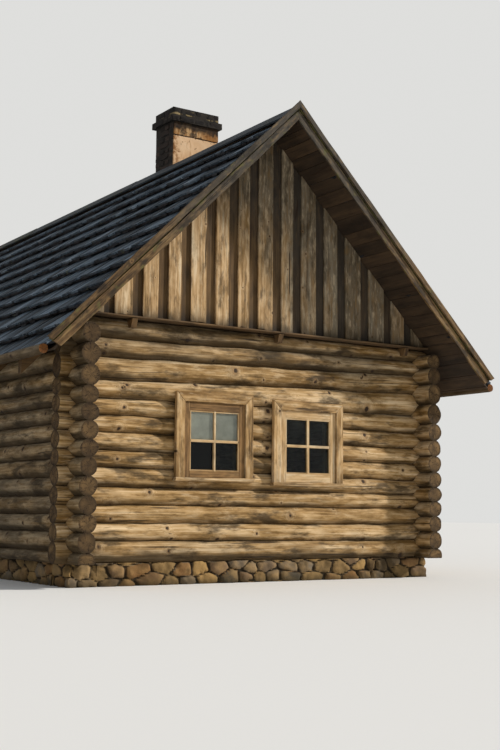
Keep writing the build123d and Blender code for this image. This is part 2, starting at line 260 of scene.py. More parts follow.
def outer_angles(outer, fine, coarse):
    """Angles round a log, close together on the side that shows"""
    half = math.radians(112)
    shown = np.linspace(-half, half, fine)
    hidden = np.linspace(half, 2 * math.pi - half, coarse + 2)[1:-1]
    return outer + np.concatenate([shown, hidden])


def grow_knots(rng, first, last):
    """Branches left their knots in rings round the trunk, a year's growth apart"""
    knots = []
    s = first + rng.uniform(0.45, 0.75)
    while s < last - 0.45:
        turn = rng.uniform(0, 2 * math.pi)
        for i in range(rng.integers(1, 5)):
            angle = turn + i * rng.uniform(1.1, 2.2)
            knots.append((s + rng.normal(0, 0.04), angle, min(0.04, 0.023 * math.exp(0.35 * rng.normal()))))
        s += rng.uniform(0.4, 0.95)
    return knots


def add_log(shape, seed, place, pieces, bottom, top, outer, spacing, cuts=(), floor=-math.inf, ceiling=None,
            depth=LOG_RADIUS, weather_and_light=0.0, dirt_and_shade=0.0):
    """A peeled log, whole or in pieces along it. bottom and top give its joints' heights along it.
    A cut (start, end, low, high) takes a box out of its upper or lower side."""
    rng = np.random.default_rng(seed)
    first, last = pieces[0][0], pieces[-1][1]
    tone = rng.uniform(0, 1)
    knots = grow_knots(rng, first, last)
    step, fine, coarse = spacing
    t = outer_angles(outer, fine, coarse)[None, :]
    edges = [e for cut in cuts for c in cut[:2] for e in (c - 0.0004, c + 0.0004)]
    for start, end in pieces:
        bevels = (start + 0.006, start + 0.02, end - 0.02, end - 0.006)
        s = stations(start, end, step, [*edges, *bevels])[:, None]
        middle = (bottom(s) + top(s)) / 2
        half = (top(s) - bottom(s)) / 2 + LOG_LAP
        around = vectors(s, 0.1 * np.cos(t), 0.1 * np.sin(t))
        swell = (
            1 + 0.04 * waver(s, 0.9, seed) + 0.03 * waver(s, 2.6, seed + 1)
            + 0.085 * noise(around, (2.6, 10, 10), seed + 2) + 0.065 * noise(around, (7, 20, 20), seed + 3)
        )
        knot = vectors(0 * s, 0 * t, 1.0)
        nearest = np.full(knot.shape[:-1], KNOT_REACH)
        for at, angle, radius in knots:
            du = (s - at) / radius
            dv = (np.mod(t - angle + math.pi, 2 * math.pi) - math.pi) * depth / radius
            away = np.sqrt(du * du + dv * dv)
            swell = swell + 4.2 * radius * np.exp(-(du / 2.6) ** 2 - (dv / 2.0) ** 2)
            near = away < nearest
            nearest = np.where(near, away, nearest)
            knot = np.where(near[..., None], vectors(du, dv, 0 * away), knot)
        rounding = 1 - 0.07 * (smooth(s, first + 0.02, first) + smooth(s, last - 0.02, last))
        u = depth * swell * rounding * np.cos(t) + 0.006 * waver(s, 0.7, seed + 4)
        v = middle + (half * (0.7 + 0.3 * swell)) * rounding * np.sin(t)
        for low_s, high_s, low, high in cuts:
            inside = (s > low_s) & (s < high_s)
            for level, beyond in ((low, v > low), (high, v < high)):
                if bottom(start) < level < top(start):
                    limit = depth * np.sqrt(np.clip(1 - ((level - middle) / half) ** 2, 0, 1))
                    u = np.where(inside & beyond, np.clip(u, -limit, limit), u)
                    v = np.where(inside & beyond, level, v)
        v = np.maximum(v, floor)
        if ceiling is not None:
            v = np.minimum(v, np.maximum(ceiling(s), bottom(s)))
        # Painted shade: the dirt mark darkens each log's underside and its joints, where shade falls. Its top
        # is greyed as weathering and a painted highlight. damp is dirt near the plinth.
        under = smooth(np.sin(t), -0.1, -0.85)
        over = smooth(np.sin(t), 0.35, 0.95)
        painted_joint_shade = smooth(np.abs(np.sin(t)), 0.84, 0.98)
        damp = smooth(v, PLINTH_TOP + 0.2, PLINTH_TOP - 0.05)
        mark = vectors(
            tone,
            weather_and_light + 0.3 * over + 0.2 * waver(s, 0.8, seed + 5),
            dirt_and_shade + 0.7 * under + 0.7 * painted_joint_shade + 0.5 * damp + 0.25 * waver(s, 1.7, seed + 6),
        )
        grain = vectors(s, depth * np.cos(t), depth * np.sin(t))
        shape.add_sweep(place(s, u, v), grain, mark, knot, cap_finish=1, flipped=place.flipped, cap_dirt=0.1)


def front_joint(level, s):
    """Height of a joint of the front wall at a distance from its middle; joint 0 is on the plinth"""
    if level in (0, COURSES):
        return PLINTH_TOP + level * COURSE + 0 * s
    left, right = FRONT_JOINTS_LEFT[level - 1], FRONT_JOINTS_RIGHT[level - 1]
    share = (s - JOINT_STATIONS[0]) / (JOINT_STATIONS[1] - JOINT_STATIONS[0])
    wave = 0.009 * waver(s, 0.8, 60 + level) + (0.006 + 0.004 * (level > 8)) * waver(s, 3.1, 90 + level)
    return left + (right - left) * np.clip(share, -0.1, 1.15) + wave


def back_joint(level, s):
    sag = 0.016 * waver(s, 0.35, 160 + level) + 0.007 * waver(s, 1.1, 190 + level)
    return PLINTH_TOP + level * COURSE + sag * (level not in (0, COURSES))


def side_joint(side, level, s):
    """Joints of a side wall lie at the middles of the gable walls' logs at its two ends"""
    def middle_at(joint):
        at = side * WALL_X
        low = joint(level - 1, at) if level > 0 else PLINTH_TOP - COURSE / 2
        return (low + joint(level, at)) / 2
    front, back = middle_at(front_joint), middle_at(back_joint)
    share = (s + WALL_Y) / (2 * WALL_Y)
    wave = 0.013 * waver(s, 0.45, 220 + 20 * side + level) * np.clip(1 - (2 * share - 1) ** 2, 0, 1)
    return front + (back - front) * np.clip(share, 0, 1) + wave


def hole(node, axis):
    """Where a frame's opening goes through a wall: its start and end along the wall, sill and head"""
    low, high = box(node)
    return low[axis], high[axis], low[2], high[2]


def pieces_beside(reach, bottom, top, holes):
    """Stretches of a log that stay, and the cuts into its upper or lower side"""
    starts, ends, cuts = [-reach], [], []
    for left, right, low, high in holes:
        if low < bottom + 0.02 and high > top - 0.02 or low < bottom and (bottom + top) / 2 < high:
            ends.append(left)
            starts.append(right)
        elif low < top and high > bottom:
            cuts.append((left, right, low, high))
    return list(zip(starts, ends + [reach])), cuts


def make_wall(word, gable, side, materials, holes=(), spacing=(0.05, 18, 6), weather_and_light=0.0, dirt_and_shade=0.0):
    """Logs laid course on course; those of one node lie two courses apart"""
    if gable:
        place = Place(side * WALL_Y * Y, X, Y, Z)
        reach, seed, outward = GABLE_LOG_REACH, 1000, side
    else:
        place = Place(side * WALL_X * X, Y, -X, Z)
        reach, seed, outward = SIDE_LOG_REACH, 2000, -side
    def joint(level, s):
        if gable:
            return front_joint(level, s) if side < 0 else back_joint(level, s)
        return side_joint(side, level, s)
    for half, first in (("lower", 0), ("upper", 1)):
        shape = Shape()
        for i in range(first, COURSES, 2):
            pieces, cuts = pieces_beside(reach, float(joint(i, 0.0)), float(joint(i + 1, 0.0)), holes)
            add_log(
                shape, seed + 50 * side + i, place, pieces,
                lambda s, i=i: joint(i, s), lambda s, i=i: joint(i + 1, s),
                0.0 if outward > 0 else math.pi, spacing, cuts, PLINTH_TOP - 0.004,
                (lambda s: under_roof(s) - 0.006) if gable else None,
                # The gable walls' top courses are greyer and darker: weathering, and painted shade under the
                # ledge. Their bottom course is dirtier.
                weather_and_light=weather_and_light + 0.25 * (gable and i > 9),
                dirt_and_shade=dirt_and_shade + gable * (0.5 * (i > 10) + 0.2 * (i == 0)),
            )
        node = f"{word}_wall_{half}_logs"
        shape.make(f"{node}_peeled", materials, "log_wood", node)


def make_eave_poles(materials):
    shape = Shape()
    low, high = box("eave_poles")
    z = (low[2] + high[2]) / 2
    for side in (-1, 1):
        x = high[0] - POLE_RADIUS if side > 0 else low[0] + POLE_RADIUS
        add_log(
            shape, 500 + side, Place((x, 0, 0), Y, -X, Z), [(low[1], high[1])],
            lambda s: z - POLE_RADIUS + LOG_LAP + 0 * s, lambda s: z + POLE_RADIUS - LOG_LAP + 0 * s,
            0.0, (0.09, 10, 4), depth=POLE_RADIUS, weather_and_light=0.5, dirt_and_shade=0.75,
        )
    shape.make("eave_poles_peeled", materials, "log_wood", "eave_poles")


# Boards

def board_section(width, thickness, edge, columns):
    """Corners of a board's end, with softened edges, and points across its two faces"""
    w, t = width / 2, thickness / 2
    across = np.linspace(-w + edge, w - edge, columns + 1)
    lower, upper = vectors(across, -t), vectors(across[::-1], t)
    right = [(w, -t + edge), (w, t - edge)]
    left = [(-w, t - edge), (-w, -t + edge)]
    return np.concatenate([lower, right, upper, left])


def add_board(shape, seed, place, length, width, thickness, step=0.12, edge=0.003, columns=2, wavy=0.0,
              bow=0.0, cup=0.0, ragged=0.0, mitre=(0, 0), taper=0.0, tone=None, weather_and_light=0.0, head_weather_and_shade=0.0,
              dirt_and_shade=0.0, foot_dirt=0.0, finish=0, start=0.0):
    """A board along place's first axis, as wide as its second and as thick as its third"""
    rng = np.random.default_rng(seed)
    tone = rng.uniform(0, 1) if tone is None else tone
    cut_back = [abs(slant) * width + 0.002 if slant else 0.0 for slant in mitre]
    between = stations(start + cut_back[0], start + length - cut_back[1], step)
    s = np.unique(np.concatenate([[start], between, [start + length]]))[:, None]
    u, v = board_section(width, thickness, min(edge, thickness * 0.4), columns).T[:, None]
    share = (s - start) / length
    reach = 2 * u / width
    def ripple(other):
        return waver(s, 2.3, seed + other) + 0.5 * waver(s, 6, seed + 3 + other)
    wide = 1 + 2 * wavy / width * np.where(u > 0, ripple(0), ripple(1))
    moved_u = u * wide + bow * waver(s, 0.5, seed + 2)
    moved_v = v * (1 - taper * (1 - share)) + cup * (reach ** 2 - 0.5) + 0.4 * bow * waver(s, 0.8, seed + 7)
    slants = [slant * (u + width / 2 * np.sign(slant)) for slant in mitre]
    along = np.where(share <= 0, start + slants[0], s)
    along = np.where(share >= 1, start + length - slants[1], along)
    torn = ragged * (waver(reach * 3 + 5, 1.7, seed + 8) + 0.5 * waver(reach * 3 + 5, 5, seed + 9))
    along = along + torn * ((share >= 1) * 1.0 - (share <= 0))
    offset = rng.uniform(-20, 20)
    grain = vectors(s + offset, u + offset, v)
    # Near the board's head the weather mark shifts: on shingles it darkens as painted shade under the course
    # above, on barge boards it greys as weathering and painted shade.
    mark = vectors(
        tone, weather_and_light + head_weather_and_shade * smooth(share, 0.75, 0.15), dirt_and_shade + foot_dirt * smooth(s - start, 0.35, 0.0)
    )
    shape.add_sweep(place(along, moved_u, moved_v), grain, mark, finish=finish, flipped=place.flipped,
                    cap_dirt=0.25)


def carry_over(node, material, axis):
    """A CAD node that shows as it is, in this material, with its grain along one axis"""
    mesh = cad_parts[node].data
    mesh.materials.clear()
    mesh.materials.append(material)
    points = np.empty(len(mesh.vertices) * 3, np.float32)
    mesh.vertices.foreach_get("co", points)
    grain = np.roll(points.reshape(-1, 3), -axis, axis=1)
    mark = np.broadcast_to(np.array((0.5, 0.2, 0.25), np.float32), grain.shape)
    for word, values in (("grain", grain), ("mark", mark)):
        layer = mesh.attributes.new(word, "FLOAT_VECTOR", "POINT")
        layer.data.foreach_set("vector", np.ascontiguousarray(values).reshape(-1))


def make_floor(material):
    """Boards side by side, cut where the chimney comes through"""
    shape = Shape()
    low, high = box("floor_boards")
    count = 24
    width = (high[0] - low[0]) / count
    for i in range(count):
        left, right = low[0] + i * width, low[0] + (i + 1) * width
        spans = [(low[1], high[1])]
        if left < SHAFT_HIGH[0] and right > SHAFT_LOW[0]:
            spans = [(low[1], SHAFT_LOW[1] - 0.002), (SHAFT_HIGH[1] + 0.002, high[1])]
        for start, end in spans:
            place = Place(((left + right) / 2, start, (low[2] + high[2]) / 2), Y, -X, Z)
            add_board(shape, 1200 + i, place, end - start, width - 0.003, high[2] - low[2], step=0.8,
                      columns=1, dirt_and_shade=0.3)
    shape.make("floor_boards_laid", [material], "board_wood", "floor_boards")


# Roof

def slope_axes(side):
    """Unit vectors down one slope and out of its surface"""
    sine, cosine = math.sin(ROOF_ANGLE), math.cos(ROOF_ANGLE)
    return np.array((side * cosine, 0, -sine)), np.array((side * sine, 0, cosine))


def slope_point(side, along, above, y):
    """A point this far down one slope and above its surface"""
    down, out = slope_axes(side)
    return np.array((0, y, RIDGE_HEIGHT)) + down * along + out * above


def under_roof(x):
    """Height of the underside of the sheathing"""
    return RIDGE_HEIGHT - abs(x) * RISE - ROOF_DEPTH / math.cos(ROOF_ANGLE)


def chimney_covers(side, along, y, margin=0.03):
    low, high = SHAFT_LOW + margin, SHAFT_HIGH - margin
    return low[0] < side * along * math.cos(ROOF_ANGLE) < high[0] and low[1] < y < high[1]


def make_shingles(word, side, material):
    """Three thin layers in each course, the upper one longest, every shingle laid a little askew"""
    shape = Shape()
    rng = np.random.default_rng(31 + side)
    down, out = slope_axes(side)
    exposure = SLOPE_LENGTH / SHINGLE_COURSES
    tilt = math.atan(SHINGLE_STEP / exposure)
    layers = ((0.0, 0.021, 0.0), (-0.012, 0.018, -0.021), (-0.022, 0.016, -0.039))
    for course in range(SHINGLE_COURSES):
        butt = (course + 1) * exposure
        for layer, (back, thickness, under) in enumerate(layers):
            y = -ROOF_HALF_LENGTH - rng.uniform(0, SHINGLE_WIDTH) * 0.5
            while y < ROOF_HALF_LENGTH - 0.02:
                left = max(y, -ROOF_HALF_LENGTH)
                right = min(y + SHINGLE_WIDTH * rng.uniform(0.72, 1.3), ROOF_HALF_LENGTH)
                if ROOF_HALF_LENGTH - right < 0.03:
                    right = ROOF_HALF_LENGTH
                middle = (left + right) / 2
                y = right
                seed = int(rng.integers(1 << 30))
                wave = 0.013 * waver(middle, 0.7, 300 + course + 40 * side)
                slip = rng.normal(0, 0.009) + wave + back
                lift = abs(rng.normal(0, 0.0028)) if layer == 0 else 0.0
                if course == SHINGLE_COURSES - 1:
                    slip = min(slip, 0.0) + back
                length = min(SHINGLE_LENGTH - 0.12 * layer, butt - 0.012)
                if chimney_covers(side, butt - length / 2, middle):
                    continue
                lean = tilt + rng.normal(0, 0.006) + lift
                along = down * math.cos(lean) + out * math.sin(lean) + Y * rng.normal(0, 0.008)
                along = along / np.linalg.norm(along)
                up = out * math.cos(lean) - down * math.sin(lean)
                tip = slope_point(side, butt + slip, under - thickness / 2, middle)
                # Each shingle is darker toward its head, under the course above, and the lower layers are
                # darker brown: dirt and painted shade.
                add_board(
                    shape, seed, Place(tip - along * length, along, Y, up), length, right - left - 0.005,
                    thickness, step=length / 2, edge=0.002, columns=2 if layer == 0 else 1,
                    cup=rng.normal(0.0015, 0.0025), ragged=0.007, taper=0.55,
                    weather_and_light=0.7 + 0.25 * rng.normal(), head_weather_and_shade=-0.8, dirt_and_shade=0.6 * layer,
                )
    node = f"roof_shingles_{word}"
    shape.make(f"{node}_laid", [material], "shingle_wood", node)


def make_sheathing(word, side, material):
    """Boards under the shingles, side by side along the ridge"""
    shape = Shape()
    rng = np.random.default_rng(71 + side)
    below = SHINGLE_LAYER + SHEATHING_THICKNESS / 2
    along = 0.02
    while along < SLOPE_LENGTH - 0.03:
        width = min(rng.uniform(0.13, 0.2), SLOPE_LENGTH - along)
        origin = slope_point(side, along + width / 2, -below, -ROOF_HALF_LENGTH)
        add_board(
            shape, int(rng.integers(1 << 30)), Place(origin, Y, *slope_axes(side)), 2 * ROOF_HALF_LENGTH,
            width - 0.003, SHEATHING_THICKNESS, step=0.3, wavy=0.001, dirt_and_shade=rng.uniform(0.0, 0.4), columns=1,
        )
        along += width
    node = f"roof_sheathing_{word}"
    shape.make(f"{node}_boards", [material], "board_wood", node)


def make_ridge_boards(material):
    """Two boards laid on the ridge, each of three lengths that overlap"""
    shape = Shape()
    low, high = box("ridge_boards")
    joints = (low[1], -1.35, 1.9, high[1])
    for side in (-1, 1):
        for part, (start, end) in enumerate(zip(joints, joints[1:])):
            origin = slope_point(side, RIDGE_BOARD / 2 + 0.004, 0.011 + 0.004 * part, start)
            add_board(
                shape, 400 + part + 10 * side, Place(origin, Y, *slope_axes(side)), end - start - 0.004,
                RIDGE_BOARD, 0.022, step=0.15, wavy=0.006, bow=0.003, ragged=0.008, weather_and_light=0.9,
                dirt_and_shade=0.3 * part,
            )
    shape.make("ridge_boards_weathered", [material], "board_wood", "ridge_boards")


def make_barge_boards(word, side, material):
    """A board on the roof's end down each slope, and a strip over its upper edge above a groove"""
    shape = Shape()
    setback, slant = 0.045, 0.3
    for slope in (-1, 1):
        for row, (above, below, ahead, thickness, wavy, dirt_and_shade) in enumerate(BARGE_ROWS):
            first = -RISE * above
            length = SLOPE_LENGTH - setback + slant * above - first
            y = side * (ROOF_HALF_LENGTH + ahead + thickness / 2)
            place = Place(slope_point(slope, 0.0, (above - below) / 2, y), *slope_axes(slope), side * Y)
            # The boards grey and darken toward the ridge: weathering and painted shade.
            add_board(
                shape, 600 + 10 * slope + row + 40 * side, place, length, above + below, thickness, step=0.05,
                wavy=wavy, start=first, mitre=(-RISE, -slant), weather_and_light=0.15, head_weather_and_shade=0.75, dirt_and_shade=dirt_and_shade, columns=3,
            )
    shape.make(f"{word}_barge_boards_weathered", [material], "board_wood", f"{word}_barge_boards")


# Gables

def add_gable_board(shape, seed, side, x, width, face, foot, weather_and_light, dirt_and_shade, finish):
    """An upright board whose head is cut along the roof, a little below it"""
    gap = 0.004
    tall = max(under_roof(x - width / 2), under_roof(x + width / 2)) - gap - foot
    if tall < 0.03:
        return
    rng = np.random.default_rng(seed)
    u, v = board_section(width, GABLE_BOARD, 0.003, 3).T[:, None]
    s = stations(0, 1, 0.12 / tall)[:, None]
    head = np.maximum(under_roof(x + u) - gap, foot + 0.01)
    torn = 0.016 * waver(u * 40 + seed % 97, 1.0, seed) * (1 - s)
    z = foot + torn + (head - foot) * s
    edge = 0.0035 * np.where(u > 0, waver(z, 1.6, seed + 1), waver(z, 1.6, seed + 2))
    warp = 0.002 * waver(z, 0.9, seed + 3)
    place = Place((x, side * face, 0), Z, X, side * Y)
    offset = rng.uniform(-20, 20)
    grain = vectors(z + offset, u + offset, v)
    mark = vectors(rng.uniform(0, 1), weather_and_light(x + u, z), dirt_and_shade + 0.7 * smooth(z, foot + 0.22, foot - 0.05))
    shape.add_sweep(place(z, u + edge, v + warp), grain, mark, finish=finish, flipped=place.flipped)


def make_gable(word, side, boards, back_boards):
    """Wide boards over the gaps of narrower ones behind them, greyer and darker up high and to the right:
    weathering and painted shade
    """
    shape = Shape()
    low, high = box(f"{word}_gable")
    outer = max(abs(low[1]), abs(high[1]))
    foot = low[2]
    # Weathering and painted shade: the weather mark rises toward the apex and the right.
    def weather_and_light(x, z):
        return 0.05 + 0.65 * smooth(z, foot + 0.5, foot + 1.9) + 0.6 * smooth(x, -0.7, 1.1)
    for i, (left, right) in enumerate(zip(GABLE_GAPS, GABLE_GAPS[1:])):
        x = (left + right) / 2
        seed = 700 + i + 60 * side
        drop = 0.012 * waver(x, 3.0, 77 + side)
        width = right - left - GABLE_GAP * (1 + 0.1 * waver(x, 5.0, 79 + side))
        add_gable_board(shape, seed, side, x, width, outer - 0.012, foot + 0.006 + drop, weather_and_light, 0.05, 0)
        # The board behind each gap, dirtier and of darker wood: painted shade in the recess.
        add_gable_board(
            shape, seed + 30, side, right, GABLE_GAP + GABLE_LAP, outer - 0.037, foot + 0.003, weather_and_light, 0.2, 1
        )
    shape.make(f"{word}_gable_boarded", [boards, back_boards], "board_wood", f"{word}_gable")


def make_ledge(word, side, material):
    """A board laid flat on the top log, its front edge left as it grew"""
    shape = Shape()
    low, high = box(f"{word}_ledge")
    length, width, thickness = high - low
    place = Place((low[0], (low[1] + high[1]) / 2, (low[2] + high[2]) / 2), X, side * Y, Z)
    add_board(shape, 830 + side, place, length, width - 0.016, thickness - 0.014, step=0.04, wavy=0.012,
              bow=0.006, edge=0.005, columns=5, weather_and_light=0.4, dirt_and_shade=0.1)
    shape.make(f"{word}_ledge_board", [material], "board_wood", f"{word}_ledge")


# Plinth

def stones(s, z, seed):
    """Bulge from 0 to 1 and a tone for each point of a wall of rounded stones"""
    shift = 0.13 * waver(s, 1.3, seed + 3) + 0.05 * waver(s, 4.0, seed + 4)
    lift = 0.035 * waver(s, 1.9, seed + 7)
    p = vectors((s + shift) / PLINTH_STONE[0], (z + lift) / PLINTH_STONE[1] + 0.2, 0.0)
    cell = np.floor(p)
    nearest = np.full(p.shape[:-1], 9.0)
    second = np.full(p.shape[:-1], 9.0)
    tone = np.zeros(p.shape[:-1])
    for di in (-2, -1, 0, 1, 2):
        for dj in (-1, 0, 1):
            other = cell + (di, dj, 0)
            stagger = 0.5 * (other[..., 1] % 2)
            cx = other[..., 0] + 0.5 + stagger + 0.7 * (hashed(other, seed) - 0.5)
            cz = other[..., 1] + 0.5 + 0.6 * (hashed(other, seed + 1) - 0.5)
            away = np.hypot(p[..., 0] - cx, p[..., 1] - cz)
            closer = away < nearest
            second = np.where(closer, nearest, np.minimum(second, away))
            tone = np.where(closer, hashed(other, seed + 2), tone)
            nearest = np.where(closer, away, nearest)
    return smooth(second - nearest, 0.02, 0.32), tone


def make_plinth(word, path, material, seed):
    """Fieldstones laid in two rows, along a path round the outside of the plinth"""
    shape = Shape()
    path = np.array(path, float)
    runs = np.diff(path, axis=0)
    legs = np.linalg.norm(runs, axis=1)
    normals = runs[:, ::-1] * (1, -1) / legs[:, None]
    corners = np.concatenate([[0], np.cumsum(legs)])
    s = stations(0, corners[-1], 0.022, corners)
    leg = np.minimum(np.searchsorted(corners, s, side="right"), len(legs)) - 1
    at_corner = (leg > 0) & (s - corners[leg] < 1e-9)
    turn = normals[leg] + normals[leg - 1] * at_corner[:, None]
    outward = vectors(*turn.T, 0.0)[:, None]
    z = np.linspace(0, PLINTH_TOP, 13)
    bulge, tone = stones(s[:, None], z, seed)
    around = vectors(*(np.interp(s, corners, path[:, k])[:, None] for k in (0, 1)), z)
    rough = 0.013 * noise(around, 16, seed + 5) + 0.008 * noise(around, 44, seed + 6)
    out = -0.033 + 0.036 * bulge ** 0.4 + 0.022 * (tone - 0.6) * bulge + rough
    face = around + outward * np.clip(out, -0.04, 0.008)[..., None]
    inner = around[:, [-1, 0]] - outward * PLINTH_DEPTH
    points = np.concatenate([face, inner], axis=1)
    mark = np.zeros(points.shape)
    mark[:, :len(z)] = vectors(tone, bulge, smooth(z, 0.1, 0.0))
    shape.add_sweep(points, points, mark, flipped=True)
    shape.make(f"plinth_{word}_stones", [material], "plinth_stone", f"plinth_{word}", sharp=80)


def make_plinths(material):
    low, high = box("plinth_front")
    x, y = high[0], -low[1]
    inner = -high[1]
    make_plinth("front", [(-x, -inner), (-x, -y), (x, -y), (x, -inner)], material, 21)
    make_plinth("back", [(x, inner), (x, y), (-x, y), (-x, inner)], material, 31)
    make_plinth("left", [(-x, inner), (-x, -inner)], material, 41)
    make_plinth("right", [(x, -inner), (x, inner)], material, 51)


# Windows and door

class Opening:
    """The box of a frame or trim in a wall, and axes along the wall and out of it.
    axis is the one that goes through the wall, and side is where it looks along it."""

    def __init__(self, node, axis, side):
        low, high = box(node)
        self.left, self.right = low[1 - axis], high[1 - axis]
        self.foot, self.head = low[2], high[2]
        self.wide, self.depth = self.right - self.left, high[axis] - low[axis]
        self.level, through = (X, Y) if axis else (Y, X)
        self.middle = through * (low[axis] + high[axis]) / 2
        self.out = side * through
        self.seed = sum(ord(letter) for letter in node)

    def at(self, along, height):
        return self.middle + self.level * along + Z * height


def make_trim(node, axis, side, material, board=0.0):
    """Two upright boards, a head board mitred with them, and one below them if it has a height"""
    shape = Shape()
    way = Opening(node, axis, side)
    seed = 900 + way.seed
    foot = way.foot + board
    common = {"step": 0.05, "wavy": 0.0025, "edge": 0.005, "columns": 3, "weather_and_light": 0.15, "dirt_and_shade": 0.18}
    for end, sign in ((way.left + TRIM_WIDTH / 2, 1), (way.right - TRIM_WIDTH / 2, -1)):
        place = Place(way.at(end, foot), Z, way.level * sign, way.out)
        add_board(shape, seed + sign, place, way.head - foot - 0.002, TRIM_WIDTH, way.depth - 0.003,
                  mitre=(0, 1), foot_dirt=0.3, **common)
    place = Place(way.at(way.left + 0.002, way.head - TRIM_WIDTH / 2), way.level, Z, way.out)
    add_board(shape, seed + 5, place, way.wide - 0.004, TRIM_WIDTH, way.depth, mitre=(-1, -1), **common)
    if board:
        place = Place(way.at(way.left - 0.006, way.foot + board / 2 - 0.001), way.level, Z, way.out)
        add_board(shape, seed + 9, place, way.wide + 0.012, board + 0.002, way.depth + 0.012, step=0.05,
                  wavy=0.004, edge=0.006, ragged=0.004, weather_and_light=0.3, dirt_and_shade=0.3)
    shape.make(f"{node}_boards", [material], "trim_wood", node)


def make_box_frame(node, axis, side, thickness, sill, head, material):
    """Four boards that line the opening"""
    shape = Shape()
    way = Opening(node, axis, side)
    seed = 950 + way.seed
    tall = way.head - way.foot - sill - head
    lining = {"step": 0.1, "columns": 3, "weather_and_light": 0.1, "dirt_and_shade": 0.35}
    for k, end in enumerate((way.left + thickness / 2, way.right - thickness / 2)):
        place = Place(way.at(end, way.foot + sill), Z, way.out, way.level)
        add_board(shape, seed + k, place, tall, way.depth, thickness, **lining)
    place = Place(way.at(way.left, way.head - head / 2), way.level, way.out, Z)
    add_board(shape, seed + 3, place, way.wide, way.depth, head, **lining)
    place = Place(way.at(way.left, way.foot + sill / 2), way.level, way.out, Z)
    add_board(shape, seed + 4, place, way.wide, way.depth, sill, step=0.1, columns=3, edge=0.005,
              weather_and_light=0.2, dirt_and_shade=0.25)
    shape.make(f"{node}_boards", [material], "trim_wood", node)


def make_sash(word, material, bead_material, mullion, muntin, muntin_at, dirt_and_shade):
    """Stiles and rails, a pale bead round the glass, and bars that divide it into four panes"""
    shape = Shape()
    low, high = box(f"{word}_window_sash")
    glass_low, glass_high = box(f"{word}_window_glass")
    rebate, bead = 0.008, 0.013
    left, right = glass_low[0] + rebate, glass_high[0] - rebate
    bottom, top = glass_low[2] + rebate, glass_high[2] - rebate
    wide, tall = right - left, top - bottom
    depth, stile = (high - low)[1:]
    centre = (low[0] + high[0]) / 2
    upright, level = (Z, X), (X, Z)
    parts = (
        ((low[0] + left) / 2, low[2], upright, stile, left - low[0], depth, 0.0, 0),
        ((high[0] + right) / 2, low[2], upright, stile, high[0] - right, depth, 0.0, 0),
        (left, (low[2] + bottom) / 2, level, wide, bottom - low[2], depth, 0.001, 0),
        (left, (high[2] + top) / 2, level, wide, high[2] - top, depth, 0.001, 0),
        (left + bead / 2, bottom, upright, tall, bead, 0.022, -0.002, 1),
        (right - bead / 2, bottom, upright, tall, bead, 0.022, -0.002, 1),
        (left, bottom + bead / 2, level, wide, bead, 0.021, -0.003, 1),
        (left, top - bead / 2, level, wide, bead, 0.021, -0.003, 1),
        (centre, bottom, upright, tall, mullion, 0.026, -0.001, 1),
        (left, muntin_at, level, wide, muntin, 0.023, -0.002, 1),
    )
    for k, (x, z, axes, length, width, thickness, proud, finish) in enumerate(parts):
        place = Place((x, low[1] + thickness / 2 - proud, z), *axes, -Y)
        add_board(shape, 980 + len(word) + 7 * k, place, length, width, thickness, step=0.06, wavy=0.0008,
                  weather_and_light=0.15, dirt_and_shade=0.1 if finish else dirt_and_shade, finish=finish)
    shape.make(f"{word}_window_sash_bars", [material, bead_material], "sash_wood", f"{word}_window_sash")


def make_panes(word, material, muntin_at, dust_and_reflection):
    """Four panes of old drawn glass, not quite flat"""
    shape = Shape()
    low, high = box(f"{word}_window_glass")
    centre, y = (low[0] + high[0]) / 2, (low[1] + high[1]) / 2
    gap = 0.004
    columns = ((low[0], centre - gap), (centre + gap, high[0]))
    rows = ((low[2], muntin_at - gap), (muntin_at + gap, high[2]))
    for k, ((x0, x1), (z0, z1)) in enumerate((column, row) for row in rows for column in columns):
        place = Place(((x0 + x1) / 2, y, z0), Z, X, -Y)
        add_board(shape, 1020 + k + len(word), place, z1 - z0, x1 - x0, 0.003, step=0.03, edge=0.0005,
                  columns=10, cup=0.0004 * (k - 1.5), weather_and_light=dust_and_reflection[k], dirt_and_shade=0.1)
    shape.make(f"{word}_window_panes", [material], "window_glass", f"{word}_window_glass")


def add_nail(shape, at, radius=0.006):
    """The domed head of a forged nail that looks along X"""
    place = Place(at, X, Y, Z)
    s, size = np.array(((-0.004, 1.0), (0.0, 1.0), (0.0018, 0.75), (0.0026, 0.3))).T[..., None]
    t = np.linspace(0, 2 * math.pi, 8, endpoint=False)
    points = place(s, radius * size * np.cos(t), radius * size * np.sin(t))
    shape.add_sweep(points, points, np.array((0.5, 0.5, 0.2)), finish=1, flipped=place.flipped)


def make_door(material, iron):
    """Upright planks, nailed to two ledgers inside"""
    shape = Shape()
    low, high = box("door_leaf")
    plank, planks, inset = 0.035, 6, 0.07
    ledger = high[0] - low[0] - plank
    width = (high[1] - low[1]) / planks
    middles = [low[1] + (i + 0.5) * width for i in range(planks)]
    for i, y in enumerate(middles):
        place = Place((high[0] - plank / 2, y, low[2]), Z, Y, X)
        add_board(shape, 1100 + i, place, high[2] - low[2], width - 0.004, plank - 0.004 * (i % 2), step=0.08,
                  wavy=0.001, edge=0.004, columns=3, weather_and_light=0.3, foot_dirt=0.4)
    for z in (low[2] + 0.2, high[2] - 0.2):
        place = Place((low[0] + ledger / 2, low[1] + inset, z), Y, Z, X)
        add_board(shape, 1120 + int(z * 10), place, high[1] - low[1] - 2 * inset, 0.14, ledger, step=0.1,
                  dirt_and_shade=0.2)
        for y in middles:
            for dy, dz in ((-0.03, 0.03), (0.03, -0.03)):
                add_nail(shape, (high[0] - 0.001, y + dy, z + dz))
    shape.make("door_leaf_planks", [material, iron], "board_wood", "door_leaf")


# Chimney

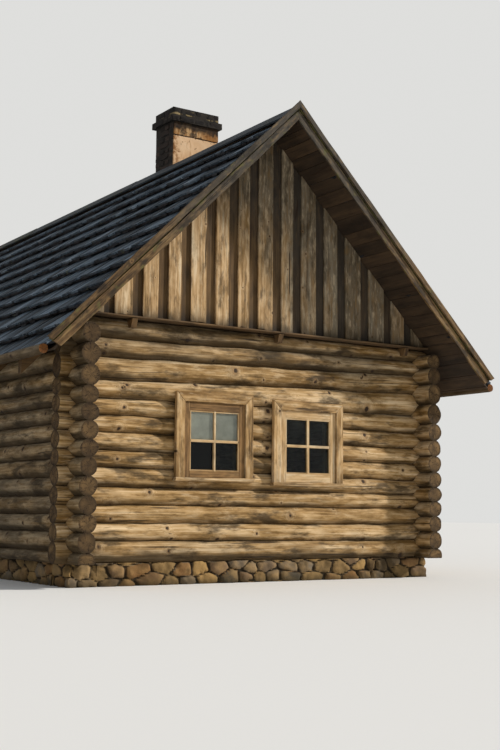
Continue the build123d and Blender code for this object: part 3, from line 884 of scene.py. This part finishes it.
def add_brick(shape, seed, low, high, finish):
    """A worn brick between two corners"""
    low, high = np.array(low, float), np.array(high, float)
    size = high - low
    rng = np.random.default_rng(seed)
    place = Place((low + high) / 2 - size / 2 * X + rng.normal(0, 0.0018, 3), X, Y, Z)
    s = stations(0, size[0], 0.03, (0.005, 0.014, size[0] - 0.014, size[0] - 0.005))[:, None]
    ends = 1 - 0.05 * (smooth(s, 0.014, 0.004) + smooth(s, size[0] - 0.014, size[0] - 0.004))
    ends = ends - 0.06 * ((s < 0.004) | (s > size[0] - 0.004))
    u, v = board_section(size[1], size[2], 0.012, 3).T[:, None] * ends
    worn = 0.009 * noise(vectors(s, u, v) + rng.uniform(0, 50), 20, seed) - 0.003
    points = place(s, u + worn * np.sign(u), v + worn * np.sign(v))
    mark = np.array((rng.uniform(0, 1), rng.uniform(0, 1), 0.2))
    shape.add_sweep(points, points, mark, finish=finish, flipped=place.flipped)


def add_brick_ring(shape, seed, low, high, bottom, height, shift, finish):
    """One course of bricks round a rectangle, with the joints moved by half a brick where shift is set"""
    length, depth = BRICK[:2]
    top = bottom + height - MORTAR
    def row(start, end):
        marks = [start]
        at = start + (length / 2 if shift else length)
        while at < end - length / 4:
            marks.append(at)
            at += length
        return zip(marks, marks[1:] + [end])
    for way, inset in ((0, 0.0), (1, depth)):
        for far, near in enumerate((low[1 - way], high[1 - way] - depth)):
            for k, (a, b) in enumerate(row(low[way] + inset, high[way] - inset)):
                start, end = (a + MORTAR / 2, near), (b - MORTAR / 2, near + depth)
                if way:
                    start, end = start[::-1], end[::-1]
                add_brick(shape, seed + 20 * way + k + 9 * far, (*start, bottom), (*end, top), finish)


def add_core(shape, low, high, bottom, top, finish):
    """Mortar behind the bricks, hollow where the flue is"""
    def ring(a, b, count=6):
        corners = np.array(((a[0], a[1]), (b[0], a[1]), (b[0], b[1]), (a[0], b[1])))
        share = np.arange(count)[:, None] / count
        return np.concatenate([p + (q - p) * share for p, q in zip(corners, np.roll(corners, -1, axis=0))])
    outer = ring(low, high)
    inner = ring(SHAFT_MIDDLE[:2] - FLUE / 2, SHAFT_MIDDLE[:2] + FLUE / 2)
    levels = stations(bottom, top, 0.05)
    rows = [(outer, z) for z in levels] + [(inner, z) for z in levels[::-1]]
    points = np.array([vectors(*corners.T, z) for corners, z in rows])
    points[..., :2] += 0.002 * noise(points, 14, 5)[..., None]
    shape.add_net(shape.add_points(points, points, (0.5, 0.5, 0.2)), finish, round_rows=True)


def make_chimney(plaster, brick, mortar):
    """Bricks round the flue, with plaster on three sides and a rougher band of it at the top"""
    shape = Shape()
    low, high = SHAFT_LOW, SHAFT_HIGH
    inset, band = 0.008, 0.172
    add_core(shape, low[:2] + inset, high[:2] - inset, low[2], high[2], 2)
    for k in range(int((high[2] - BRICKS_FROM) / BRICK[2])):
        add_brick_ring(shape, 3000 + 40 * k, low, high, high[2] - (k + 1) * BRICK[2], BRICK[2], k % 2 == 0, 1)
    for seed, bottom, top, margin, thickness, weather_and_light, dirt_and_shade in (
        (61, BRICKS_FROM, high[2] - band - 0.012, 0.004, 0.016, 0.1, 0.0),
        (67, high[2] - band + 0.006, high[2] - 0.002, 0.012, 0.012, 0.75, 0.6),
    ):
        for y, out in ((low[1], -1), (high[1], 1)):
            place = Place((SHAFT_MIDDLE[0], y + out * 0.001, bottom), Z, X, out * Y)
            across = high[0] - low[0] - 2 * margin - 0.06 * (out > 0)
            add_board(shape, seed + out, place, top - bottom, across, thickness, step=0.03, columns=22,
                      wavy=0.006, ragged=0.007, cup=0.001, tone=0.5, weather_and_light=weather_and_light, dirt_and_shade=dirt_and_shade)
    place = Place((high[0] + 0.001, SHAFT_MIDDLE[1], BRICKS_FROM), Z, Y, X)
    add_board(shape, 71, place, high[2] - BRICKS_FROM - 0.3, high[1] - low[1] - 0.04, 0.014, step=0.03,
              columns=16, wavy=0.012, ragged=0.02, tone=0.5, weather_and_light=0.3, dirt_and_shade=0.2)
    shape.make("chimney_masonry", [plaster, brick, mortar], "chimney_plaster", "chimney")


def make_chimney_cap(brick, mortar):
    """A course that steps out, and a taller one above it that steps back in"""
    shape = Shape()
    level = box("chimney_cap")[0][2]
    for seed, overhang, height in ((4000, 0.040, 0.085), (4060, 0.006, 0.107)):
        low, high = SHAFT_LOW[:2] - overhang, SHAFT_HIGH[:2] + overhang
        add_core(shape, low + 0.007, high - 0.007, level + 0.001, level + height - 0.006, 1)
        add_brick_ring(shape, seed, low, high, level, height, True, 0)
        level += height
    shape.make("chimney_cap_courses", [brick, mortar], "chimney_brick", "chimney_cap")


# Materials

def colour(text):
    """Linear colour from a hexadecimal one as it looks on a screen"""
    parts = [int(text[i:i + 2], 16) / 255 for i in (0, 2, 4)]
    return tuple(p / 12.92 if p <= 0.04045 else ((p + 0.055) / 1.055) ** 2.4 for p in parts) + (1.0,)


class Nodes:
    """Builds a node tree; an input is a number, a vector, a colour's six digits or a node's output"""

    def __init__(self, tree):
        self.tree = tree
        tree.nodes.clear()

    def feed(self, socket, value):
        if isinstance(value, bpy.types.NodeSocket):
            self.tree.links.new(value, socket)
        else:
            socket.default_value = colour(value) if isinstance(value, str) else value

    def make(self, kind, inputs=None, **settings):
        made = self.tree.nodes.new("ShaderNode" + kind)
        for key, value in settings.items():
            setattr(made, key, value)
        for key, value in (inputs or {}).items():
            self.feed(made.inputs[key], value)
        return made

    def node(self, kind, *inputs, **settings):
        """The first output of a node that gets its inputs in their order"""
        return self.make(kind, dict(enumerate(inputs)), **settings).outputs[0]

    def math(self, operation, *values):
        return self.node("Math", *values, operation=operation)

    def times(self, a, b):
        return self.math("MULTIPLY", a, b)

    def add(self, *terms):
        """The sum of the terms; a pair of values is multiplied first"""
        total = None
        for term in terms:
            value = self.times(*term) if isinstance(term, tuple) else term
            total = value if total is None else self.math("ADD", total, value)
        return total


class Recipe(Nodes):
    """One material: its shade takes tints one after another, and finish gives it its bump"""

    def __init__(self, name, roughness, specular=0.2):
        self.material = bpy.data.materials.new(name)
        self.material.use_nodes = True
        super().__init__(self.material.node_tree)
        self.shader = self.make("BsdfPrincipled", {"Roughness": roughness, "Specular IOR Level": specular})
        self.output = self.make("OutputMaterial", {"Surface": self.shader.outputs[0]})
        self.shade = None

    def attribute(self, name):
        return self.make("Attribute", attribute_name=name).outputs["Vector"]

    def place(self):
        return self.make("TexCoord").outputs["Object"]

    def split(self, vector):
        return self.make("SeparateXYZ", {0: vector}).outputs[:3]

    def marks(self):
        """Tone, weather and dirt; on some pieces the last two also hold painted light and shade"""
        return self.split(self.attribute("mark"))

    def scaled(self, vector, x, y, z):
        return self.node("VectorMath", vector, (x, y, z), operation="MULTIPLY")

    def step(self, value, low, high, strength=1.0):
        """A soft step from 0 at low to strength at high"""
        return self.node("MapRange", value, low, high, 0.0, strength, interpolation_type="SMOOTHSTEP")

    def noise(self, vector, detail, scale=1.0, roughness=0.5, w=0.0):
        inputs = {"Vector": vector, "Scale": scale, "Detail": detail, "Roughness": roughness, "W": w}
        return self.make("TexNoise", inputs, noise_dimensions="4D").outputs[0]

    def ramp(self, value, *stops):
        result = self.node("ValToRGB", value)
        elements = result.node.color_ramp.elements
        while len(elements) < len(stops):
            elements.new(0.5)
        for element, (position, shade) in zip(elements, stops):
            element.position, element.color = position, colour(shade)
        return result

    def mix(self, factor, a, b):
        return self.make("Mix", {0: factor, 6: a, 7: b}, data_type="RGBA").outputs[2]

    def tint(self, shade, amount):
        self.shade = self.mix(amount, self.shade, shade)

    def stain(self, shade, value, low, high, strength):
        """Tints where the value has passed from low to high"""
        self.tint(shade, self.step(value, low, high, strength))

    def finish(self, height, distance, strength=1.0):
        bump = self.make("Bump", {"Height": height, "Distance": distance, "Strength": strength})
        self.feed(self.shader.inputs["Normal"], bump.outputs[0])
        self.feed(self.shader.inputs["Base Color"], self.shade)
        return self.material


def wood(name, pale, middle, deep, grey, stain, knots="marked", moss=None, depth=0.0035, check=1.0,
         contrast=1.0, grime=0.5, size=1.0):
    """Wood whose grain runs along each piece: pale to deep streaks, greyed or stained where the marks say,
    which on some pieces is painted highlight and shade
    """
    r = Recipe(name, 0.78, 0.25)
    grain = r.attribute("grain")
    tone, weather_and_light, dirt_and_shade = r.marks()
    w = r.times(tone, 37.0)
    if knots == "marked":
        knot = r.scaled(r.attribute("knot"), 1.0, 1.0, 4.0)
        away = r.make("VectorMath", {0: knot}, operation="LENGTH").outputs["Value"]
    else:
        inputs = {"Vector": r.scaled(grain, 4.5, 4.5, 0.0), "Scale": 1.0}
        cells = r.make("TexVoronoi", inputs, voronoi_dimensions="2D").outputs
        wide, chosen, _ = r.split(cells["Color"])
        away = r.math("DIVIDE", cells["Distance"], r.math("MULTIPLY_ADD", wide, 0.05, 0.022))
        share = KNOT_SHARES[knots]
        away = r.add(away, r.step(chosen, share - 0.01, share, 9.0))

    def drawn(along, across, detail=3.0, roughness=0.5, other=0.0):
        """Noise stretched along the grain, in lumps of about 1 / along by 1 / across metres"""
        at = r.scaled(grain, along * size, across * size, across * size)
        return r.noise(at, detail, roughness=roughness, w=r.add(w, other))

    uneven = r.noise(r.scaled(grain, 24.0, 40.0, 40.0), 2.0, w=w)
    away = r.add(away, (uneven, 1.1), -0.55)
    straight = r.scaled(grain, 2.6, 85.0, 85.0)
    curled = r.node("CombineXYZ", 0.0, r.times(away, 2.2), 0.0)
    lines = r.make("Mix", {0: r.step(away, 3.0, 0.7), 4: straight, 5: curled}, data_type="VECTOR").outputs[1]
    fibre = r.noise(lines, 3.0, w=w)
    streak = drawn(0.8, 21.0)
    blotch = drawn(1.5, 5.0, other=3.0)
    patch = drawn(3.2, 9.0, 4.0, other=9.0)
    stains = drawn(2.3, 7.0, 5.0, 0.62, 1.0)
    rough = drawn(5.0, 20.0, 5.0, 0.65)
    level = r.add(
        (streak, 0.75 * contrast), (fibre, 0.5 * contrast), (blotch, 0.55 * contrast), (tone, 0.22),
        0.39 - 0.9 * contrast,
    )
    r.shade = r.ramp(level, (0.18, deep), (0.5, middle), (0.78, pale))
    # A paler ring round each knot: painted highlight on its swelling.
    r.stain(pale, r.add(away, rough), 3.3, 2.0, 0.3 * grime)
    # Greyed where the weather mark is high, which on logs, gables and barge boards also holds painted
    # highlight and shade.
    greyed = r.add(weather_and_light, (blotch, 0.9), (streak, 0.5), -0.7)
    r.stain(r.mix(fibre, stain, grey), greyed, 0.1, 0.75, 0.85)
    r.stain(pale, rough, 0.52, 0.3, 0.45 * grime)
    r.stain(deep, rough, 0.5, 0.68, 0.75 * grime)
    r.stain(stain, stains, 0.49, 0.64, 0.8 * grime)
    r.stain(KNOT_HALO, r.add(away, (rough, 2.2)), 3.0, 1.7, 0.6)
    # Darker where the dirt mark is high: dirt, and on logs and barge grooves painted shade.
    r.stain(stain, r.add(dirt_and_shade, patch, (blotch, 0.5), -0.75), 0.1, 0.95, 0.86)
    r.stain(KNOT_SHADE, r.add(away, (fibre, 0.6)), 1.15, 0.7, 0.95)
    split = drawn(0.16 / size, 15.0 / size, 1.0, other=5.0)
    open_split = r.step(r.math("ABSOLUTE", r.add(split, -0.5)), 0.012, 0.002)
    crack = r.times(open_split, r.step(drawn(1.3, 6.0, 2.0, other=7.0), 0.52, 0.6))
    r.tint(KNOT_SHADE, r.times(crack, 0.85 * check))
    if moss is not None:
        spread = r.noise(r.scaled(grain, 7.0, 12.0, 12.0), 5.0, w=4.0)
        r.stain(moss, r.add(spread, (dirt_and_shade, 0.25)), 0.6, 0.74, 0.75)
    return r.finish(r.add(
        (fibre, 0.3), (streak, 0.3), (patch, 0.25), (rough, 0.45), (crack, -0.9), r.step(away, 1.3, 0.7, -0.25)
    ), depth)


def end_grain(name, pale, deep, rim):
    """A sawn or hewn log end: rings, radial checks and a darker rim"""
    r = Recipe(name, 0.85)
    _, u, v = r.split(r.attribute("grain"))
    tone, _, dirt_and_shade = r.marks()
    w = r.times(tone, 37.0)
    radius = r.math("SQRT", r.add((u, u), (v, v)))
    wobble = r.noise(r.node("CombineXYZ", r.times(u, 14.0), r.times(v, 14.0), 0.0), 3.0, w=w)
    rings = r.math("SINE", r.add((radius, 900.0), (wobble, 9.0)))
    angle = r.math("ARCTAN2", v, u)
    spoke = r.node("CombineXYZ", r.times(angle, 2.2), r.times(radius, 6.0), 0.0)
    spoke = r.add(r.noise(spoke, 2.0, w=r.add(w, 2.0)), -0.5)
    split = r.step(r.math("ABSOLUTE", spoke), 0.02, 0.004)
    r.shade = r.ramp(r.add((wobble, 1.2), (rings, 0.14), (tone, 0.4), -0.35), (0.15, deep), (0.8, pale))
    r.stain(rim, radius, 0.06, 0.1, 0.7)
    # Darker where the dirt mark is high, which at log ends also holds painted shade.
    r.stain(rim, r.add(dirt_and_shade, (wobble, 0.5)), 0.35, 1.4, 0.6)
    r.tint("1c1008", r.times(split, 0.8))
    return r.finish(r.add((rings, 0.12), (wobble, 0.6), (split, -0.8)), 0.004)


def shingle_material():
    """Bluish grey weathered shingles, darker brown in their lower layers from dirt and painted shade, with a
    little moss
    """
    r = Recipe("weathered_shingles", 0.82)
    grain, place = r.attribute("grain"), r.place()
    tone, weather_and_light, dirt_and_shade = r.marks()
    w = r.times(tone, 37.0)
    fibre = r.noise(r.scaled(grain, 5.0, 150.0, 150.0), 3.0, w=w)
    streak = r.noise(r.scaled(grain, 3.0, 30.0, 30.0), 3.0, w=w)
    cloud = r.noise(place, 4.0, 1.6)
    spots = r.noise(place, 5.0, 13.0)
    level = r.add((fibre, 0.6), (streak, 0.8), (tone, 0.22), (cloud, 0.6), (weather_and_light, 0.3), -0.8)
    r.shade = r.ramp(level, (0.17, "0e1114"), (0.42, "333d47"), (0.66, "687887"), (0.9, "abb7c2"))
    # Dark brown where the dirt mark is high: dirt, and painted shade of the lower layers.
    r.stain("2a2320", r.add((streak, 0.7), (tone, 0.35), (dirt_and_shade, 1.1)), 0.66, 1.05, 0.85)
    r.stain("5c5f42", r.add(spots, (cloud, 0.35)), 0.78, 0.9, 0.5)
    return r.finish(r.add((fibre, 0.5), (streak, 0.6)), 0.004)


def stone_material():
    """Fieldstones of many colours, near-black in the gaps between them as painted shade"""
    r = Recipe("fieldstone", 0.9)
    tone, bulge, damp = r.marks()
    place = r.place()
    lump = r.noise(place, 5.0, 9.0)
    speck = r.noise(place, 3.0, 130.0, 0.7)
    r.shade = r.ramp(
        tone, (0.0, "6e5a3c"), (0.3, "a0804f"), (0.55, "6f6455"), (0.8, "8a6439"), (1.0, "4f473a")
    )
    r.stain("b4925f", lump, 0.4, 0.7, 0.5)
    r.stain("3c3124", speck, 0.5, 0.75, 0.6)
    r.stain("3a2d18", r.noise(place, 5.0, 4.0, w=3.0), 0.48, 0.68, 0.75)
    # Near-black between the stones: painted shade in the gaps.
    r.stain("1f180e", r.add(bulge, (lump, 0.5)), 0.85, 0.3, 0.95)
    r.tint("2c2817", r.times(damp, 0.6))
    return r.finish(r.add((lump, 0.8), (speck, 0.25)), 0.008)


def plaster_material():
    """Lime plaster, smooth and peach-coloured, rougher and stained by rust and soot where the marks say, and
    near-black just under the cap from soot and painted shadow
    """
    r = Recipe("old_plaster", 0.9)
    _, weather_and_light, dirt_and_shade = r.marks()
    place = r.place()
    x, _, z = r.split(place)
    cloud = r.noise(place, 4.0, 4.5)
    lump = r.noise(place, 5.0, 16.0)
    run = r.noise(r.scaled(place, 26.0, 26.0, 6.0), 4.0)
    grit = r.noise(place, 4.0, 90.0)
    level = r.add((cloud, 0.8), (lump, 0.3), (grit, 0.1), -0.1)
    r.shade = r.ramp(level, (0.2, "c89d74"), (0.5, "dcb892"), (0.8, "ead0b0"))
    r.tint("c39a5c", r.times(weather_and_light, 0.75))
    r.stain("6b431d", r.add(r.noise(place, 2.0, 24.0, w=2.0), (weather_and_light, 0.06)), 0.64, 0.7, 0.8)
    r.stain("7c4d1f", r.add(x, (lump, 0.5)), SHAFT_LOW[0] + 0.34, SHAFT_LOW[0] + 0.22, 0.85)
    rusty = r.step(r.add(x, (run, 0.5)), SHAFT_MIDDLE[0] + 0.1, SHAFT_MIDDLE[0] + 0.45)
    r.tint("7d4b1c", r.times(rusty, weather_and_light))
    r.stain("8f5c22", r.add(run, (weather_and_light, 0.2)), 0.58, 0.78, 0.75)
    r.stain("2e241b", r.add(lump, (dirt_and_shade, 0.3), (cloud, 0.2)), 0.72, 0.93, 0.85)
    # Near-black at the top of the shaft: soot, and painted shadow of the cap.
    high = r.step(z, SHAFT_HIGH[2] - 0.2, SHAFT_HIGH[2], 0.8)
    r.stain("1d1814", r.add(high, (run, 0.6), (lump, 0.6)), 0.8, 1.25, 0.92)
    return r.finish(r.add((cloud, 0.4), (lump, 0.6), (grit, 0.3)), 0.007)


def masonry_material(name, dark, middle, pale, lime, smeared_at=-9.0):
    """Sooty bricks; mortar is smeared over them, most of it at one height"""
    r = Recipe(name, 0.92)
    tone, weather_and_light, _ = r.marks()
    place = r.place()
    cloud = r.noise(place, 5.0, 11.0)
    grit = r.noise(place, 4.0, 110.0)
    level = r.add((cloud, 0.7), (tone, 0.4), (grit, 0.3), -0.2)
    r.shade = r.ramp(level, (0.15, dark), (0.5, middle), (0.85, pale))
    r.stain("1d1b19", r.add(cloud, (weather_and_light, 0.3)), 0.5, 0.85, 0.9)
    smear = r.noise(r.scaled(place, 6.0, 6.0, 14.0), 4.0, w=6.0)
    here = r.step(r.math("ABSOLUTE", r.add(r.split(place)[2], -smeared_at)), 0.035, 0.01, 0.2)
    r.stain(lime, r.add(smear, (grit, 0.2), here), 0.74, 0.86, 0.75)
    return r.finish(r.add((cloud, 0.7), (grit, 0.5)), 0.006)


def glass_material():
    """Old drawn glass with a pale film: a little dust, and a painted reflection where the panes' weather mark
    is high
    """
    r = Recipe("window_panes", 0.04, 0.25)
    r.shader.inputs["Transmission Weight"].default_value = 1.0
    r.shader.inputs["IOR"].default_value = 1.25
    place = r.place()
    amount = r.step(r.add(r.marks()[1], (r.noise(place, 5.0, 9.0), 0.4)), 0.2, 1.2)
    film = r.node("BsdfDiffuse", "bcc0b4", 1.0)
    r.feed(r.output.inputs["Surface"], r.node("MixShader", amount, r.shader.outputs[0], film))
    r.shade = (0.3, 0.34, 0.31, 1.0)
    return r.finish(r.noise(place, 2.0, 6.0), 0.002, 0.35)


def iron_material():
    r = Recipe("forged_iron", 0.6, 0.4)
    r.shader.inputs["Metallic"].default_value = 0.6
    rust = r.noise(r.place(), 4.0, 60.0)
    r.shade = r.ramp(rust, (0.35, "2b2622"), (0.7, "5a3a22"))
    return r.finish(rust, 0.002)


# Stage, light and camera

def floor_material():
    """Pale paint, faintly clouded"""
    r = Recipe("studio_floor_paint", 0.95, 0.1)
    faint = r.noise(r.place(), 3.0, 0.8)
    r.feed(r.shader.inputs["Base Color"], r.mix(r.times(faint, 0.04), "ededec", "ffffff"))
    return r.material


def make_stage():
    size = 60
    mesh = bpy.data.meshes.new("studio_floor")
    corners = [(-size, -size, 0), (size, -size, 0), (size, size, 0), (-size, size, 0)]
    mesh.from_pydata(corners, [], [(0, 1, 2, 3)])
    mesh.materials.append(floor_material())
    floor = bpy.data.objects.new("studio_floor", mesh)
    bpy.context.scene.collection.objects.link(floor)


def make_light():
    """A low warm lamp from the front right, and a world that shows brighter than it lights"""
    scene = bpy.context.scene
    scene.view_settings.view_transform = "Standard"
    scene.world = bpy.data.worlds.new("studio")
    scene.world.use_nodes = True
    n = Nodes(scene.world.node_tree)
    ray = n.make("LightPath").outputs
    mirrored = n.math("MAXIMUM", ray["Is Glossy Ray"], ray["Is Transmission Ray"])
    lit = n.node("Background", (0.93, 0.96, 1.0, 1.0), 0.38)
    seen = n.node("Background", (0.735, 0.735, 0.72, 1.0), 1.0)
    both = n.node("MixShader", n.math("MAXIMUM", ray["Is Camera Ray"], mirrored), lit, seen)
    n.make("OutputWorld", {"Surface": both})
    lamp = bpy.data.lights.new("key", "SUN")
    lamp.energy = 3.8
    lamp.angle = math.radians(4)
    lamp.color = (1.0, 0.95, 0.87)
    key = bpy.data.objects.new("key", lamp)
    scene.collection.objects.link(key)
    bearing, height = math.radians(65), math.radians(27)
    level = math.cos(height)
    toward = Vector((math.sin(bearing) * level, -math.cos(bearing) * level, math.sin(height)))
    key.rotation_mode = "QUATERNION"
    key.rotation_quaternion = toward.to_track_quat("Z", "Y")
    key.location = toward * 20


def make_camera():
    """The photograph's view: from the left front, a little above the ground, looking slightly up"""
    focal_pixels = 1184.3
    place = (-7.2325, -14.8975, 0.7419)
    yaw, pitch, roll = math.radians(33.69), math.radians(6.58), math.radians(0.45)
    data = bpy.data.cameras.new("camera")
    data.sensor_width = SENSOR
    data.lens = focal_pixels * SENSOR / PICTURE_HEIGHT
    data.clip_end = 200
    camera = bpy.data.objects.new("camera", data)
    bpy.context.scene.collection.objects.link(camera)
    tilt = Matrix.Rotation(math.pi / 2 + pitch, 4, "X") @ Matrix.Rotation(roll, 4, "Z")
    camera.matrix_world = Matrix.Translation(place) @ Matrix.Rotation(-yaw, 4, "Z") @ tilt
    bpy.context.scene.camera = camera


# The cabin

log_skin = wood(
    "peeled_logs", "e6caa0", "b59260", "705224", "c4b08f", "2c200c", depth=0.016, contrast=1.45, grime=1.0
)
log_end = end_grain("log_ends", "9a7a50", "54402a", "33281b")
pole_end = end_grain("pole_ends", "a86c34", "6f421f", "4a2d17")
gable_skin = wood(
    "gable_boards", "ead2ac", "c09d70", "80633a", "66645a", "392f1e", "faint", depth=0.004, contrast=1.5,
    grime=0.8, size=1.6,
)
# The boards behind the gaps are of a darker wood than the outer ones: painted shade in the recesses.
gable_back_shaded_skin = wood(
    "gable_back_boards_painted_shade", "80633d", "5a4429", "35281a", "45413a", "1b1610", "none", depth=0.003
)
board_skin = wood("ledge_boards", "8c6b43", "664d2f", "3a2a19", "665a49", "211910", "faint", grime=0.8)
roof_board_skin = wood("roof_boards", "52402d", "3c2f22", "251c14", "4b4237", "17120d", "none", depth=0.002)
barge_skin = wood(
    "barge_boards", "977a4f", "62492b", "352715", "50504c", "1e170d", "faint", "5e5a30", depth=0.006,
    contrast=1.5, grime=1.0, size=1.7,
)
ridge_skin = wood(
    "ridge_boards", "45484a", "303338", "1a1c1f", "4d565f", "141311", "faint", "3c3d2a", depth=0.006
)
trim_skin = wood(
    "window_boards", "ead1aa", "c29d6a", "7c5c31", "a89c86", "4a371b", "grown", depth=0.004, contrast=1.35,
    grime=0.7, size=1.7,
)
sash_skin = wood(
    "sash_wood", "e6cfa8", "c7a576", "8f6e44", "b8ad98", "6a5130", "none", depth=0.0015, check=0.3,
    contrast=1.2, size=2.2,
)
sash_brown_skin = wood(
    "sash_wood_brown", "b48c58", "8a6840", "563e22", "857a66", "352715", "none", depth=0.002, contrast=1.3,
    size=2.2,
)
door_skin = wood("door_planks", "b0936a", "8d7049", "5c4428", "8d8576", "3b2e1b", "grown")
floor_skin = wood("floor_boards", "96764d", "765a38", "4d3821", "7a7264", "2f2415", "grown")
iron = iron_material()
shingle_skin = shingle_material()
stone_skin = stone_material()
plaster = plaster_material()
brick = masonry_material("chimney_brick", "241e1b", "3b302a", "524338", "6a6256")
cap_brick = masonry_material(
    "chimney_cap_brick", "151312", "262120", "3f3731", "a08d66", SHAFT_HIGH[2] + 0.095
)
mortar = masonry_material("chimney_mortar", "211e1b", "332e29", "4c453b", "6f6553")
glass = glass_material()

logs = [log_skin, log_end]
windows = [hole(f"{word}_window_frame", 0) for word in ("left", "right")]
make_plinths(stone_skin)
make_wall("front", True, -1, logs, windows, (0.025, 22, 7))
make_wall("back", True, 1, logs, weather_and_light=0.2)
# The left wall is greyed and darkened more than the others: painted shade on the side away from the lamp.
make_wall("left", False, -1, logs, weather_and_light=0.45, dirt_and_shade=0.4)
make_wall("right", False, 1, logs, [hole("door_frame", 1)], weather_and_light=0.3, dirt_and_shade=0.2)
make_floor(floor_skin)
carry_over("floor_joists", floor_skin, 0)
for word, side in (("left", -1), ("right", 1)):
    carry_over(f"rafters_{word}", board_skin, 0)
    make_sheathing(word, side, roof_board_skin)
    make_shingles(word, side, shingle_skin)
make_ridge_boards(ridge_skin)
make_eave_poles([log_skin, pole_end])
for word, side in (("front", -1), ("back", 1)):
    make_barge_boards(word, side, barge_skin)
    make_gable(word, side, gable_skin, gable_back_shaded_skin)
    make_ledge(word, side, board_skin)
    carry_over(f"{word}_ledge_brackets", board_skin, 2)
for word, muntin_at, bars, dust_and_reflection, skin, dirt_and_shade, head in (
    # The pale film on the left window's upper panes is a painted reflection; on the others it is a little
    # dust.
    ("left", 1.465, (0.024, 0.028), (0.0, 0.0, 0.56, 0.5), sash_brown_skin, 0.3, 0.046),
    ("right", 1.455, (0.03, 0.03), (0.0, 0.0, 0.04, 0.04), sash_skin, 0.05, 0.073),
):
    make_box_frame(f"{word}_window_frame", 1, -1, 0.03, 0.036, head, trim_skin)
    make_trim(f"{word}_window_trim", 1, -1, trim_skin, board=0.036)
    make_sash(word, skin, sash_skin, *bars, muntin_at, dirt_and_shade)
    make_panes(word, glass, muntin_at, dust_and_reflection)
make_box_frame("door_frame", 0, 1, 0.04, 0.04, 0.04, trim_skin)
make_trim("door_trim", 0, 1, trim_skin)
make_door(door_skin, iron)
make_chimney(plaster, brick, mortar)
make_chimney_cap(cap_brick, mortar)

make_stage()
make_light()
make_camera()
